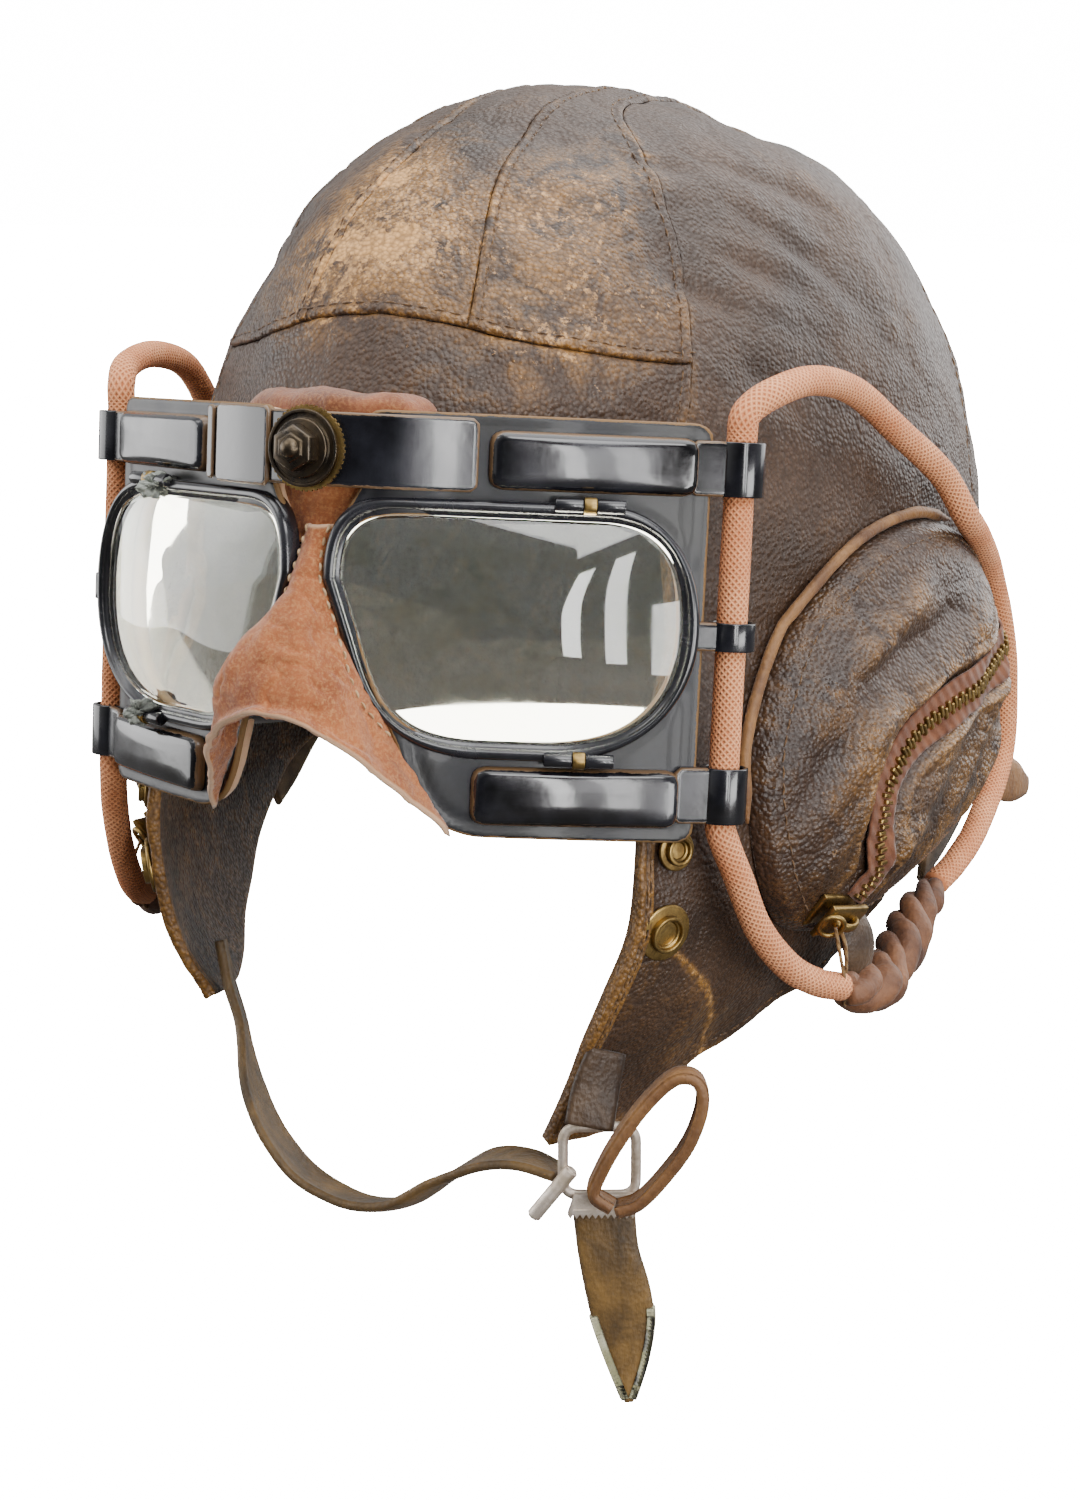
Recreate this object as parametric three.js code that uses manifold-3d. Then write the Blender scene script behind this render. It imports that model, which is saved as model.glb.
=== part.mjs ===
// Leather flying cap with goggles, at real size in millimetres.
// +Z is up, -Y is the wearer's front and +X is the wearer's left.
// The origin is the inside top of the crown, where the head touches it.

import * as THREE from 'three';
import { mergeVertices } from 'three/addons/utils/BufferGeometryUtils.js';
import Module from 'manifold-3d';

const wasm = await Module();
wasm.setup();

// Driving dimensions

const LEATHER = 2;            // wall of the cap
const GAP = 0.3;              // between pieces that touch
const EAR_LEVEL = -104.5;     // where the dome of the crown ends
const DOME_RISE = 107;        // from there to the outside top of the crown
const DOME_POWER = 2.14;      // roundness of the dome seen from the side
const HEM_LOWEST = -212;      // below every hem before the cap is trimmed
const FLAP_TOP = -95;         // below the brow band
const STRIP_EDGE_FRONT = 54;  // where the outer crown seams meet the face opening
const POCKET_DOME = 12.6;     // how far an ear pocket stands off the cap
const CORD_RADIUS = 3;
const STRAP_THICK = 2;
const GOGGLE_PITCH = THREE.MathUtils.degToRad(-7);
const GOGGLE_PLACE = [0, -83.1, -101.5];

// Cap sections, one row for each height: reach to the front and back, half width,
// narrowing towards the front, and the power of the superellipse.
const CAP_SECTIONS = [
  { z: -104.5, front: 109, back: 109, half: 85, taper: 0.235, power: 2.13 },
  { z: -125, front: 120, back: 106, half: 86, taper: 0.19, power: 2.3 },
  { z: -150, front: 124, back: 101, half: 86, taper: 0.16, power: 2.4 },
  { z: -168, front: 124, back: 97, half: 83, taper: 0.16, power: 2.4 },
  { z: -182, front: 122, back: 95, half: 79, taper: 0.17, power: 2.35 },
  { z: -194, front: 119, back: 94, half: 71, taper: 0.18, power: 2.3 },
  { z: -212, front: 116, back: 93, half: 56, taper: 0.18, power: 2.3 },
];

// Dents and swellings of the leather: direction from the front (positive to the wearer's
// left) in degrees, height, spread along the wall and up it, and depth (positive goes in).
const CAP_DENTS = [
  { direction: -62, z: -36, along: 20, up: 9, depth: 1.6 },
  { direction: 40, z: -8, along: 18, up: 6, depth: 1.6 },
  { direction: 118, z: -5, along: 18, up: 7, depth: 2.6 },
  { direction: 60, z: -34, along: 22, up: 14, depth: 2 },
  { direction: -30, z: -26, along: 20, up: 12, depth: -1.4 },
  { direction: 150, z: -40, along: 30, up: 20, depth: 1.8 },
  { direction: -150, z: -60, along: 30, up: 22, depth: 2 },
  { direction: 48, z: -78, along: 14, up: 18, depth: 1.6 },
];

// Half width of the crown's strips seen from above, front to back.
const STRIP_SEAMS = [
  { y: -140, inner: 19, outer: 54.4 },
  { y: -90, inner: 18, outer: 54.4 },
  { y: -62, inner: 12, outer: 54 },
  { y: -48, inner: 10.5, outer: 48.5 },
  { y: -38, inner: 9.5, outer: 38.5 },
  { y: -20, inner: 9, outer: 22.5 },
  { y: 0, inner: 9, outer: 20 },
  { y: 25, inner: 10, outer: 25 },
  { y: 55, inner: 13, outer: 37 },
  { y: 90, inner: 17, outer: 44 },
  { y: 140, inner: 18, outer: 46 },
];

// Brow seam seen from the front.
const BROW_SEAM = [
  { x: 0, z: -40.6 },
  { x: 14, z: -42 },
  { x: 27, z: -45.5 },
  { x: 40, z: -48.7 },
  { x: 54, z: -51.5 },
  { x: 70, z: -53 },
];

// Seam behind the ear, seen from the side.
const REAR_SEAM = [
  { y: 66, z: 20 },
  { y: 62, z: -8 },
  { y: 57, z: -25 },
  { y: 50, z: -47 },
  { y: 43, z: -67 },
  { y: 38, z: -88 },
  { y: 37, z: -120 },
  { y: 37, z: -230 },
];

// Face opening seen from the front: half width down the edge of each cheek flap.
const FACE_EDGE = [
  { z: -70, left: 44, right: 44 },
  { z: -76, left: 51, right: 51 },
  { z: -89, left: 54, right: 54 },
  { z: -120, left: 55, right: 55 },
  { z: -145, left: 56.2, right: 56 },
  { z: -160, left: 55.2, right: 56 },
  { z: -174, left: 50.5, right: 54.5 },
  { z: -188, left: 44.6, right: 50.5 },
  { z: -201, left: 38.8, right: 45 },
  { z: -214, left: 32.5, right: 40 },
];

// Lower hem seen from the side, from the front of the cheek flap to the nape.
const HEM = [
  { y: -130, left: -209, right: -189 },
  { y: -88, left: -209, right: -191 },
  { y: -70, left: -208.5, right: -195 },
  { y: -61, left: -199, right: -195.5 },
  { y: -50, left: -196.5, right: -193.5 },
  { y: -38, left: -190, right: -189 },
  { y: -24, left: -184, right: -184 },
  { y: -10, left: -176, right: -176 },
  { y: 2, left: -170, right: -170 },
  { y: 14, left: -165, right: -165 },
  { y: 35, left: -161, right: -161 },
  { y: 120, left: -163, right: -163 },
];

// Rim of an ear pocket on the side of the cap, seen from the side.
const POCKET_RIM = [
  { y: -66, z: -128 },
  { y: -58, z: -116 },
  { y: -42, z: -101 },
  { y: -25, z: -91.5 },
  { y: -5, z: -89 },
  { y: 11, z: -92.5 },
  { y: 24, z: -102 },
  { y: 31, z: -118 },
  { y: 30, z: -138 },
  { y: 22, z: -153 },
  { y: 6, z: -163 },
  { y: -14, z: -168.5 },
  { y: -38, z: -172 },
  { y: -55, z: -168 },
  { y: -65, z: -156 },
  { y: -68, z: -142 },
];
const POCKET_CENTRE = { y: -9, z: -131 };

// Folds of the pocket: the two ends of each crest, its half breadth and its height.
const POCKET_FOLDS = [
  { fromY: -40, fromZ: -160, toY: 18, toZ: -102, breadth: 5.5, height: 2.4 },
  { fromY: -30, fromZ: -166, toY: 26, toZ: -116, breadth: 5, height: 2.2 },
  { fromY: -46, fromZ: -140, toY: -2, toZ: -98, breadth: 5, height: 1.6 },
  { fromY: -2, fromZ: -150, toY: 30, toZ: -130, breadth: 4, height: 1.6 },
];

// General helpers

const X_AXIS = new THREE.Vector3(1, 0, 0);
const Y_AXIS = new THREE.Vector3(0, 1, 0);
const Z_AXIS = new THREE.Vector3(0, 0, 1);

const part = new THREE.Group();

const MATERIALS = {
  capLeather: { color: 0x3d2c22, roughness: 0.55, metalness: 0 },
  tanLeather: { color: 0x8a5a2c, roughness: 0.6, metalness: 0 },
  padLeather: { color: 0xa8613f, roughness: 0.7, metalness: 0 },
  wrapLeather: { color: 0x7c4632, roughness: 0.65, metalness: 0 },
  cordCotton: { color: 0xc07a5c, roughness: 0.85, metalness: 0 },
  strapWebbing: { color: 0x5f4a2c, roughness: 0.8, metalness: 0 },
  trimRubber: { color: 0xa9a77e, roughness: 0.7, metalness: 0 },
  blackEnamel: { color: 0x14151a, roughness: 0.22, metalness: 0.3 },
  darkSteel: { color: 0x4b453c, roughness: 0.4, metalness: 0.9 },
  brass: { color: 0xa8843c, roughness: 0.35, metalness: 1 },
  nickel: { color: 0xb9b3a6, roughness: 0.3, metalness: 1 },
  zipCotton: { color: 0x7a4a2e, roughness: 0.85, metalness: 0 },
  lensGlass: { color: 0xe8ece4, roughness: 0.05, metalness: 0 },
};

function look(name) {
  return new THREE.MeshStandardMaterial({ name, ...MATERIALS[name] });
}

// One row of a table between its neighbours, with a smooth curve through the rows.
function tableAt(table, key, value, column) {
  const rising = table[0][key] < table[table.length - 1][key];
  let i = 0;
  while (i < table.length - 2 && (rising ? value > table[i + 1][key] : value < table[i + 1][key])) {
    i += 1;
  }
  const [before, from, to, after] = [table[Math.max(i - 1, 0)], table[i], table[i + 1],
    table[Math.min(i + 2, table.length - 1)]];
  const span = to[key] - from[key];
  const t = THREE.MathUtils.clamp((value - from[key]) / span, 0, 1);
  const slopeIn = before === from ? (to[column] - from[column]) / span
    : (to[column] - before[column]) / (to[key] - before[key]);
  const slopeOut = after === to ? (to[column] - from[column]) / span
    : (after[column] - from[column]) / (after[key] - from[key]);
  const t2 = t * t;
  const t3 = t2 * t;
  return (2 * t3 - 3 * t2 + 1) * from[column] + (t3 - 2 * t2 + t) * span * slopeIn
    + (3 * t2 - 2 * t3) * to[column] + (t3 - t2) * span * slopeOut;
}

function signedPower(value, power) {
  return Math.sign(value) * Math.abs(value) ** power;
}

function toGeometry(positions, triangles) {
  const geometry = new THREE.BufferGeometry();
  geometry.setAttribute('position', new THREE.Float32BufferAttribute(positions, 3));
  geometry.setIndex(triangles);
  return geometry;
}

// A closed solid for cutting and joining, from any closed geometry.
function toSolid(geometry) {
  const bare = geometry.clone();
  bare.deleteAttribute('normal');
  bare.deleteAttribute('uv');
  const merged = mergeVertices(bare, 1e-4);
  return new wasm.Manifold(new wasm.Mesh({
    numProp: 3,
    vertProperties: Float32Array.from(merged.attributes.position.array),
    triVerts: Uint32Array.from(merged.index.array),
  }));
}

function fromSolid(solid) {
  const mesh = solid.getMesh();
  return toGeometry(Array.from(mesh.vertProperties), Array.from(mesh.triVerts));
}

function addMesh(name, geometry, material, parent = part) {
  const mesh = new THREE.Mesh(geometry, look(material));
  mesh.name = name;
  parent.add(mesh);
  return mesh;
}

// The same geometry for the other side of the head, with its faces still pointing out.
function mirrored(geometry) {
  const copy = geometry.index ? geometry.clone() : mergeVertices(geometry);
  copy.scale(-1, 1, 1);
  const index = Array.from(copy.index.array);
  for (let i = 0; i < index.length; i += 3) {
    [index[i], index[i + 1]] = [index[i + 1], index[i]];
  }
  copy.setIndex(index);
  return copy;
}

function forSide(side, geometry) {
  return side > 0 ? geometry : mirrored(geometry);
}

// A closed wall between two sheets of points, front[i][j] and back[i][j].
// closedAround joins the last row to the first.
function sheetSolid(front, back, closedAround = false) {
  const rows = front.length;
  const columns = front[0].length;
  const positions = [];
  for (const sheet of [front, back]) {
    for (const row of sheet) {
      for (const p of row) positions.push(p.x, p.y, p.z);
    }
  }
  const at = (side, i, j) => side * rows * columns + (i % rows) * columns + j;
  const triangles = [];
  const quad = (a, b, c, d) => triangles.push(a, b, c, a, c, d);
  const lastRow = closedAround ? rows : rows - 1;
  for (let i = 0; i < lastRow; i += 1) {
    for (let j = 0; j < columns - 1; j += 1) {
      quad(at(0, i, j), at(0, i + 1, j), at(0, i + 1, j + 1), at(0, i, j + 1));
      quad(at(1, i, j), at(1, i, j + 1), at(1, i + 1, j + 1), at(1, i + 1, j));
    }
    quad(at(0, i, 0), at(1, i, 0), at(1, i + 1, 0), at(0, i + 1, 0));
    quad(at(0, i, columns - 1), at(0, i + 1, columns - 1), at(1, i + 1, columns - 1), at(1, i, columns - 1));
  }
  if (!closedAround) {
    for (let j = 0; j < columns - 1; j += 1) {
      quad(at(0, 0, j), at(0, 0, j + 1), at(1, 0, j + 1), at(1, 0, j));
      const last = rows - 1;
      quad(at(0, last, j), at(1, last, j), at(1, last, j + 1), at(0, last, j + 1));
    }
  }
  return toGeometry(positions, triangles);
}

// Turns a solid whose faces point in the right way round.
function facingOut(geometry) {
  const p = geometry.attributes.position;
  const index = Array.from(geometry.index.array);
  const [a, b, c] = [new THREE.Vector3(), new THREE.Vector3(), new THREE.Vector3()];
  let volume = 0;
  for (let i = 0; i < index.length; i += 3) {
    a.fromBufferAttribute(p, index[i]);
    b.fromBufferAttribute(p, index[i + 1]);
    c.fromBufferAttribute(p, index[i + 2]);
    volume += a.dot(b.cross(c));
  }
  if (volume < 0) {
    for (let i = 0; i < index.length; i += 3) [index[i], index[i + 1]] = [index[i + 1], index[i]];
    geometry.setIndex(index);
  }
  return geometry;
}

// A flat outline extruded along an axis: seen from above (z), the side (x) or the front (y).
function prism(outline, axis, from, to) {
  const shape = outline instanceof THREE.Shape ? outline
    : new THREE.Shape(outline.map(([u, v]) => new THREE.Vector2(u, v)));
  const geometry = new THREE.ExtrudeGeometry(shape, { depth: to - from, bevelEnabled: false, curveSegments: 3 });
  geometry.translate(0, 0, from);
  const turn = new THREE.Matrix4();
  if (axis === 'x') turn.makeBasis(Y_AXIS, Z_AXIS, X_AXIS);
  if (axis === 'y') turn.makeBasis(X_AXIS, Z_AXIS, Y_AXIS.clone().negate());
  geometry.applyMatrix4(turn);
  return geometry;
}

// A round tube along a smooth curve through the points.
function tube(points, radius, sides, steps, closed = false) {
  const path = new THREE.CatmullRomCurve3(points.map((p) => new THREE.Vector3(...p)), closed, 'centripetal');
  const ring = new THREE.Shape();
  for (let k = 0; k < sides; k += 1) {
    const angle = 2 * Math.PI * k / sides;
    const spot = [radius * Math.cos(angle), radius * Math.sin(angle)];
    if (k === 0) ring.moveTo(...spot);
    else ring.lineTo(...spot);
  }
  return new THREE.ExtrudeGeometry(ring, { steps, extrudePath: path, bevelEnabled: false });
}

// A flat band through rows of { at, across, width, thick }: across is the direction of its width.
function band(rows) {
  const front = [];
  const back = [];
  rows.forEach((row, i) => {
    const here = new THREE.Vector3(...row.at);
    const before = new THREE.Vector3(...rows[Math.max(i - 1, 0)].at);
    const after = new THREE.Vector3(...rows[Math.min(i + 1, rows.length - 1)].at);
    const along = after.sub(before).normalize();
    const across = new THREE.Vector3(...row.across);
    across.addScaledVector(along, -across.dot(along)).normalize();
    const out = new THREE.Vector3().crossVectors(along, across).multiplyScalar(row.thick / 2);
    const half = across.multiplyScalar(row.width / 2);
    const left = here.clone().sub(half);
    const right = here.clone().add(half);
    front.push([left.clone().add(out), right.clone().add(out)]);
    back.push([left.clone().sub(out), right.clone().sub(out)]);
  });
  return facingOut(sheetSolid(front, back));
}

// Cap surface

function capSection(z) {
  if (z <= EAR_LEVEL) {
    const row = { scale: 1 };
    for (const column of ['front', 'back', 'half', 'taper', 'power']) {
      row[column] = tableAt(CAP_SECTIONS, 'z', z, column);
    }
    return row;
  }
  const up = Math.min((z - EAR_LEVEL) / DOME_RISE, 1);
  return { ...CAP_SECTIONS[0], scale: (1 - up ** DOME_POWER) ** (1 / DOME_POWER) };
}

// Outside of the cap before its dents, in a direction from the front and at a height.
function smoothWall(direction, z, section = capSection(z)) {
  const forward = signedPower(Math.cos(direction), 2 / section.power);
  const sideways = signedPower(Math.sin(direction), 2 / section.power);
  const reach = forward > 0 ? section.front : section.back;
  return new THREE.Vector3(
    section.half * section.scale * sideways * (1 - section.taper * forward),
    -reach * section.scale * forward,
    z,
  );
}

function dentDepth(point) {
  let depth = 0;
  for (const dent of CAP_DENTS) {
    const centre = smoothWall(THREE.MathUtils.degToRad(dent.direction), dent.z);
    const flat = Math.hypot(point.x - centre.x, point.y - centre.y) / dent.along;
    const up = (point.z - centre.z) / dent.up;
    depth += dent.depth * Math.exp(-flat * flat - up * up);
  }
  return depth;
}

// The crown's point at an angle above ear level, and the wall's below it.
function capRing(level) {
  if (level.rise !== undefined) {
    const z = EAR_LEVEL + DOME_RISE * Math.sin(level.rise) ** (2 / DOME_POWER);
    return { z, section: { ...CAP_SECTIONS[0], scale: Math.cos(level.rise) ** (2 / DOME_POWER) } };
  }
  return { z: level.z, section: capSection(level.z) };
}

function capGrid(levels, around) {
  return levels.map((level) => {
    const { z, section } = capRing(level);
    const row = [];
    for (let k = 0; k < around; k += 1) {
      row.push(smoothWall(2 * Math.PI * (k + 0.5) / around, z, section));
    }
    return row;
  });
}

// Moves each point of a ring grid along its own normal, in by the dents and an inset.
function shifted(grid, inset) {
  const rows = grid.length;
  const around = grid[0].length;
  return grid.map((row, i) => row.map((point, k) => {
    const above = grid[Math.max(i - 1, 0)][k];
    const below = grid[Math.min(i + 1, rows - 1)][k];
    const left = row[(k + around - 1) % around];
    const right = row[(k + 1) % around];
    const normal = new THREE.Vector3().subVectors(right, left)
      .cross(new THREE.Vector3().subVectors(above, below)).normalize();
    return point.clone().addScaledVector(normal, -inset - dentDepth(point));
  }));
}

// A closed cup from rings of points: outer and inner skins, closed at the top and the rim.
function ringCup(outer, inner, topOut, topIn) {
  const around = outer[0].length;
  const positions = [];
  for (const grid of [outer, inner]) {
    for (const row of grid) {
      for (const p of row) positions.push(p.x, p.y, p.z);
    }
  }
  positions.push(topOut.x, topOut.y, topOut.z, topIn.x, topIn.y, topIn.z);
  const rows = outer.length;
  const at = (skin, i, k) => (skin * rows + i) * around + (k % around);
  const apex = 2 * rows * around;
  const triangles = [];
  for (let k = 0; k < around; k += 1) {
    triangles.push(apex, at(0, 0, k), at(0, 0, k + 1));
    triangles.push(apex + 1, at(1, 0, k + 1), at(1, 0, k));
    for (let i = 0; i < rows - 1; i += 1) {
      triangles.push(at(0, i, k), at(0, i + 1, k), at(0, i + 1, k + 1));
      triangles.push(at(0, i, k), at(0, i + 1, k + 1), at(0, i, k + 1));
      triangles.push(at(1, i, k), at(1, i, k + 1), at(1, i + 1, k + 1));
      triangles.push(at(1, i, k), at(1, i + 1, k + 1), at(1, i + 1, k));
    }
    const rim = rows - 1;
    triangles.push(at(0, rim, k), at(1, rim, k), at(1, rim, k + 1));
    triangles.push(at(0, rim, k), at(1, rim, k + 1), at(0, rim, k + 1));
  }
  return facingOut(toGeometry(positions, triangles));
}

// Half width of the cap's side at a place seen from the side.
function sideHalfWidth(y, z) {
  const section = capSection(z);
  const reach = y < 0 ? section.front : section.back;
  const forward = THREE.MathUtils.clamp(-y / (reach * section.scale), -1, 1);
  const cosine = signedPower(forward, section.power / 2);
  const sideways = Math.sqrt(Math.max(0, 1 - cosine * cosine)) ** (2 / section.power);
  const x = section.half * section.scale * sideways * (1 - section.taper * forward);
  return x - dentDepth(new THREE.Vector3(x, y, z));
}

// Outward direction of the cap's side there.
function sideNormal(y, z) {
  const step = 1;
  const slopeY = (sideHalfWidth(y + step, z) - sideHalfWidth(y - step, z)) / (2 * step);
  const slopeZ = (sideHalfWidth(y, z + step) - sideHalfWidth(y, z - step)) / (2 * step);
  return new THREE.Vector3(1, -slopeY, -slopeZ).normalize();
}

// Cap panels

const AROUND = 30;
const DOME_RISES = [77, 62, 47, 32, 16, 0];
const SKIRT_HEIGHTS = [-124, -148, -166, -180, -194, HEM_LOWEST];

// The wall of the cap between two depths below its outside.
function capShell(near = 0, far = LEATHER) {
  const levels = [
    ...DOME_RISES.map((rise) => ({ rise: THREE.MathUtils.degToRad(rise) })),
    ...SKIRT_HEIGHTS.map((z) => ({ z })),
  ];
  const smooth = capGrid(levels, AROUND);
  const top = EAR_LEVEL + DOME_RISE;
  return ringCup(
    shifted(smooth, near),
    shifted(smooth, far),
    new THREE.Vector3(0, 0, top - near),
    new THREE.Vector3(0, 0, top - far),
  );
}

function cutHem(shell) {
  let cut = shell;
  for (const [side, column] of [[1, 'left'], [-1, 'right']]) {
    const outline = HEM.map((row) => [row.y, row[column]]);
    outline.push([120, -240], [-130, -240]);
    cut = cut.subtract(toSolid(prism(outline, 'x', side > 0 ? 0 : -130, side > 0 ? 130 : 0)));
  }
  const left = FACE_EDGE.map((row) => [row.left, row.z]);
  const right = FACE_EDGE.map((row) => [-row.right, row.z]).reverse();
  const opening = [...left, [left[left.length - 1][0], -240], [right[0][0], -240], ...right];
  return cut.subtract(toSolid(prism(opening, 'y', 20, 160)));
}

// A strip seen from above, between two columns of STRIP_SEAMS.
function stripRegion(innerColumn, outerColumn, side, inward = GAP / 2) {
  const samples = [];
  for (let y = -130; y <= 130; y += 20) samples.push(y);
  const edge = (column, shift) => samples.map((y) => {
    const width = column ? tableAt(STRIP_SEAMS, 'y', y, column) : 120;
    return [side * (width + shift), y];
  });
  const inner = edge(innerColumn, inward);
  const outer = edge(outerColumn, -inward).reverse();
  return toSolid(prism([...inner, ...outer], 'z', -240, 20));
}

function centreRegion() {
  const samples = [];
  for (let y = -130; y <= 130; y += 20) samples.push(y);
  const width = (y) => tableAt(STRIP_SEAMS, 'y', y, 'inner') - GAP / 2;
  const outline = [...samples.map((y) => [width(y), y]), ...samples.map((y) => [-width(y), y]).reverse()];
  return toSolid(prism(outline, 'z', -240, 20));
}

// Everything in front of the ears and below the brow seam, lowered or raised by half a gap.
function browRegion(shift) {
  const seam = BROW_SEAM.map((row) => [row.x, row.z + shift]);
  const mirroredSeam = BROW_SEAM.slice(1).map((row) => [-row.x, row.z + shift]).reverse();
  const outline = [[-70, -240], [70, -240], ...seam.reverse(), ...mirroredSeam.reverse()];
  return toSolid(prism(outline, 'y', 0, 160));
}

function rearRegion(shift) {
  const outline = REAR_SEAM.map((row) => [row.y + shift, row.z]);
  outline.push([140, -230], [140, 20]);
  return toSolid(prism(outline, 'x', -130, 130));
}

function addCapPanels() {
  const shell = cutHem(toSolid(capShell()));
  const belowBrow = browRegion(-GAP / 2);
  const belowCrown = browRegion(GAP / 2);
  const behindEar = rearRegion(GAP / 2);
  const beforeEar = rearRegion(-GAP / 2);
  addMesh('crown_center_strip', fromSolid(shell.intersect(centreRegion()).subtract(belowCrown)), 'capLeather');
  const [seam, front, back] = [STRIP_EDGE_FRONT - GAP / 2, -130, -30];
  const forehead = toSolid(prism([[-seam, front], [seam, front], [seam, back], [-seam, back]], 'z', -240, 20));
  const brow = shell.intersect(forehead).intersect(belowBrow)
    .subtract(stripRegion('outer', null, 1, -GAP / 2))
    .subtract(stripRegion('outer', null, -1, -GAP / 2));
  addMesh('brow_band', fromSolid(largestPiece(brow)), 'capLeather');
  for (const [side, word] of [[1, 'left'], [-1, 'right']]) {
    const strip = shell.intersect(stripRegion('inner', 'outer', side)).subtract(belowCrown);
    addMesh(`crown_strip_${word}`, fromSolid(largestPiece(strip)), 'capLeather');
    const cheek = [[0, FLAP_TOP], [80 * side, FLAP_TOP], [80 * side, -240], [0, -240]];
    const flap = toSolid(prism(side > 0 ? cheek : cheek.reverse(), 'y', 0, 160));
    const outside = shell.intersect(stripRegion('outer', null, side).add(flap));
    addMesh(`side_panel_${word}`, fromSolid(largestPiece(outside.subtract(beforeEar))), 'capLeather');
    addMesh(`back_panel_${word}`, fromSolid(largestPiece(outside.intersect(behindEar))), 'capLeather');
  }
}

function largestPiece(solid) {
  return solid.decompose().reduce((best, piece) => (piece.volume() > best.volume() ? piece : best));
}


// Ear pockets

const POCKET_RINGS = [1, 0.93, 0.78, 0.54, 0.27];
const POCKET_AROUND = 22;

function pocketRimCurve() {
  return new THREE.CatmullRomCurve3(POCKET_RIM.map((row) => new THREE.Vector3(0, row.y, row.z)), true);
}

function foldHeight(y, z) {
  let height = 0;
  for (const fold of POCKET_FOLDS) {
    const along = new THREE.Vector2(fold.toY - fold.fromY, fold.toZ - fold.fromZ);
    const length = along.length();
    along.normalize();
    const offset = new THREE.Vector2(y - fold.fromY, z - fold.fromZ);
    const run = offset.dot(along) / length;
    const aside = Math.abs(offset.cross(along)) / fold.breadth;
    const beyond = Math.max(0, Math.abs(run - 0.5) - 0.42) * 9;
    const ends = Math.exp(-beyond * beyond);
    height += fold.height * Math.exp(-aside * aside) * ends;
  }
  return height;
}

// A point of the pocket: ring 1 is the rim and ring 0 the middle.
function pocketPoint(rimPoint, ring, inset) {
  const y = POCKET_CENTRE.y + (rimPoint.y - POCKET_CENTRE.y) * ring;
  const z = POCKET_CENTRE.z + (rimPoint.z - POCKET_CENTRE.z) * ring;
  const swell = Math.max(0, 1 - ring ** 3) ** 0.6;
  const dome = POCKET_DOME * swell + foldHeight(y, z) * Math.min(1, 2.2 * (1 - ring));
  const base = new THREE.Vector3(sideHalfWidth(y, z), y, z);
  return base.addScaledVector(sideNormal(y, z), GAP + (inset > 0 ? Math.max(0, dome - inset) : dome - inset));
}

// The wall of the pocket between two depths below its outside.
function pocketShell(near, far) {
  const curve = pocketRimCurve();
  const rims = [];
  for (let k = 0; k < POCKET_AROUND; k += 1) rims.push(curve.getPoint(k / POCKET_AROUND));
  const skin = (depth) => POCKET_RINGS.map((ring) => {
    const reach = depth > 0 ? ring * 0.95 : ring;
    return rims.map((rim) => pocketPoint(rim, reach, depth));
  }).reverse();
  return ringCup(skin(near), skin(far), pocketPoint(rims[0], 0, near), pocketPoint(rims[0], 0, far));
}

function addPockets() {
  const pocket = pocketShell(0, LEATHER);
  const welt = [POCKET_RIM[15], ...POCKET_RIM.slice(0, 6)].map((row) => {
    const outward = new THREE.Vector2(row.y - POCKET_CENTRE.y, row.z - POCKET_CENTRE.z).normalize();
    const [y, z] = [row.y + 1.8 * outward.x, row.z + 1.8 * outward.y];
    return new THREE.Vector3(sideHalfWidth(y, z), y, z).addScaledVector(sideNormal(y, z), 1.6).toArray();
  });
  const weltGeometry = facingOut(mergeVertices(bareGeometry(tube(welt, 1.2, 5, 11))));
  for (const [side, word] of [[1, 'left'], [-1, 'right']]) {
    addMesh(`ear_pocket_${word}`, forSide(side, pocket), 'capLeather');
    addMesh(`pocket_piping_${word}`, forSide(side, weltGeometry), 'tanLeather');
  }
}

function bareGeometry(geometry) {
  const bare = geometry.clone();
  bare.deleteAttribute('normal');
  bare.deleteAttribute('uv');
  return bare;
}

// Goggles, in a frame of their own: +Y towards the face, turned down at the front

// Front of the metal plates seen from above, from the bridge to the cord clamps.
const PLATE_PLAN = [
  { x: 0, y: -41 },
  { x: 14, y: -36.5 },
  { x: 27, y: -28.5 },
  { x: 45, y: -17.5 },
  { x: 62, y: -5.8 },
  { x: 69, y: -0.4 },
  { x: 76, y: 5 },
];
const PLATE_THICK = 1.5;
const PLATE_END = 66.4;
const PAD_BACK = 4.8;
const PLATE_OUTLINE = [[PLATE_END, 39.5], [64.4, 41], [10, 41], [10, 27], [3, 16], [7, -1], [13, -13],
  [17, -22], [19.5, -31], [23, -37], [29, -40], [64.4, -40.5], [PLATE_END, -39]];
const RIM_WRAP = THREE.MathUtils.degToRad(27);
const RIM_BRIDGE_Y = -44.5;
const RIM_WIDTH = 3.4;
const RIM_DEPTH = 4;
const RIM_STEPS = 4;
const BAR_BOTTOM = 26.2;
const BAR_TOP = 40.2;
const CLAMP_AXIS = { x: 70.4, y: 2.2 };

const goggles = new THREE.Group();
goggles.position.set(...GOGGLE_PLACE);
goggles.rotation.x = GOGGLE_PITCH;
part.add(goggles);

function platePlan(x) {
  return tableAt(PLATE_PLAN, 'x', Math.abs(x), 'y');
}

// A slab that follows the plates, between two distances behind their front.
function plateSlab(fromX, toX, near, far, bottom, top, steps) {
  const outline = [];
  for (let k = 0; k <= steps; k += 1) {
    const x = fromX + (toX - fromX) * k / steps;
    outline.push([x, platePlan(x) + near]);
  }
  for (let k = steps; k >= 0; k -= 1) {
    const x = fromX + (toX - fromX) * k / steps;
    outline.push([x, platePlan(x) + far]);
  }
  return toSolid(prism(outline, 'z', bottom, top));
}

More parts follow.
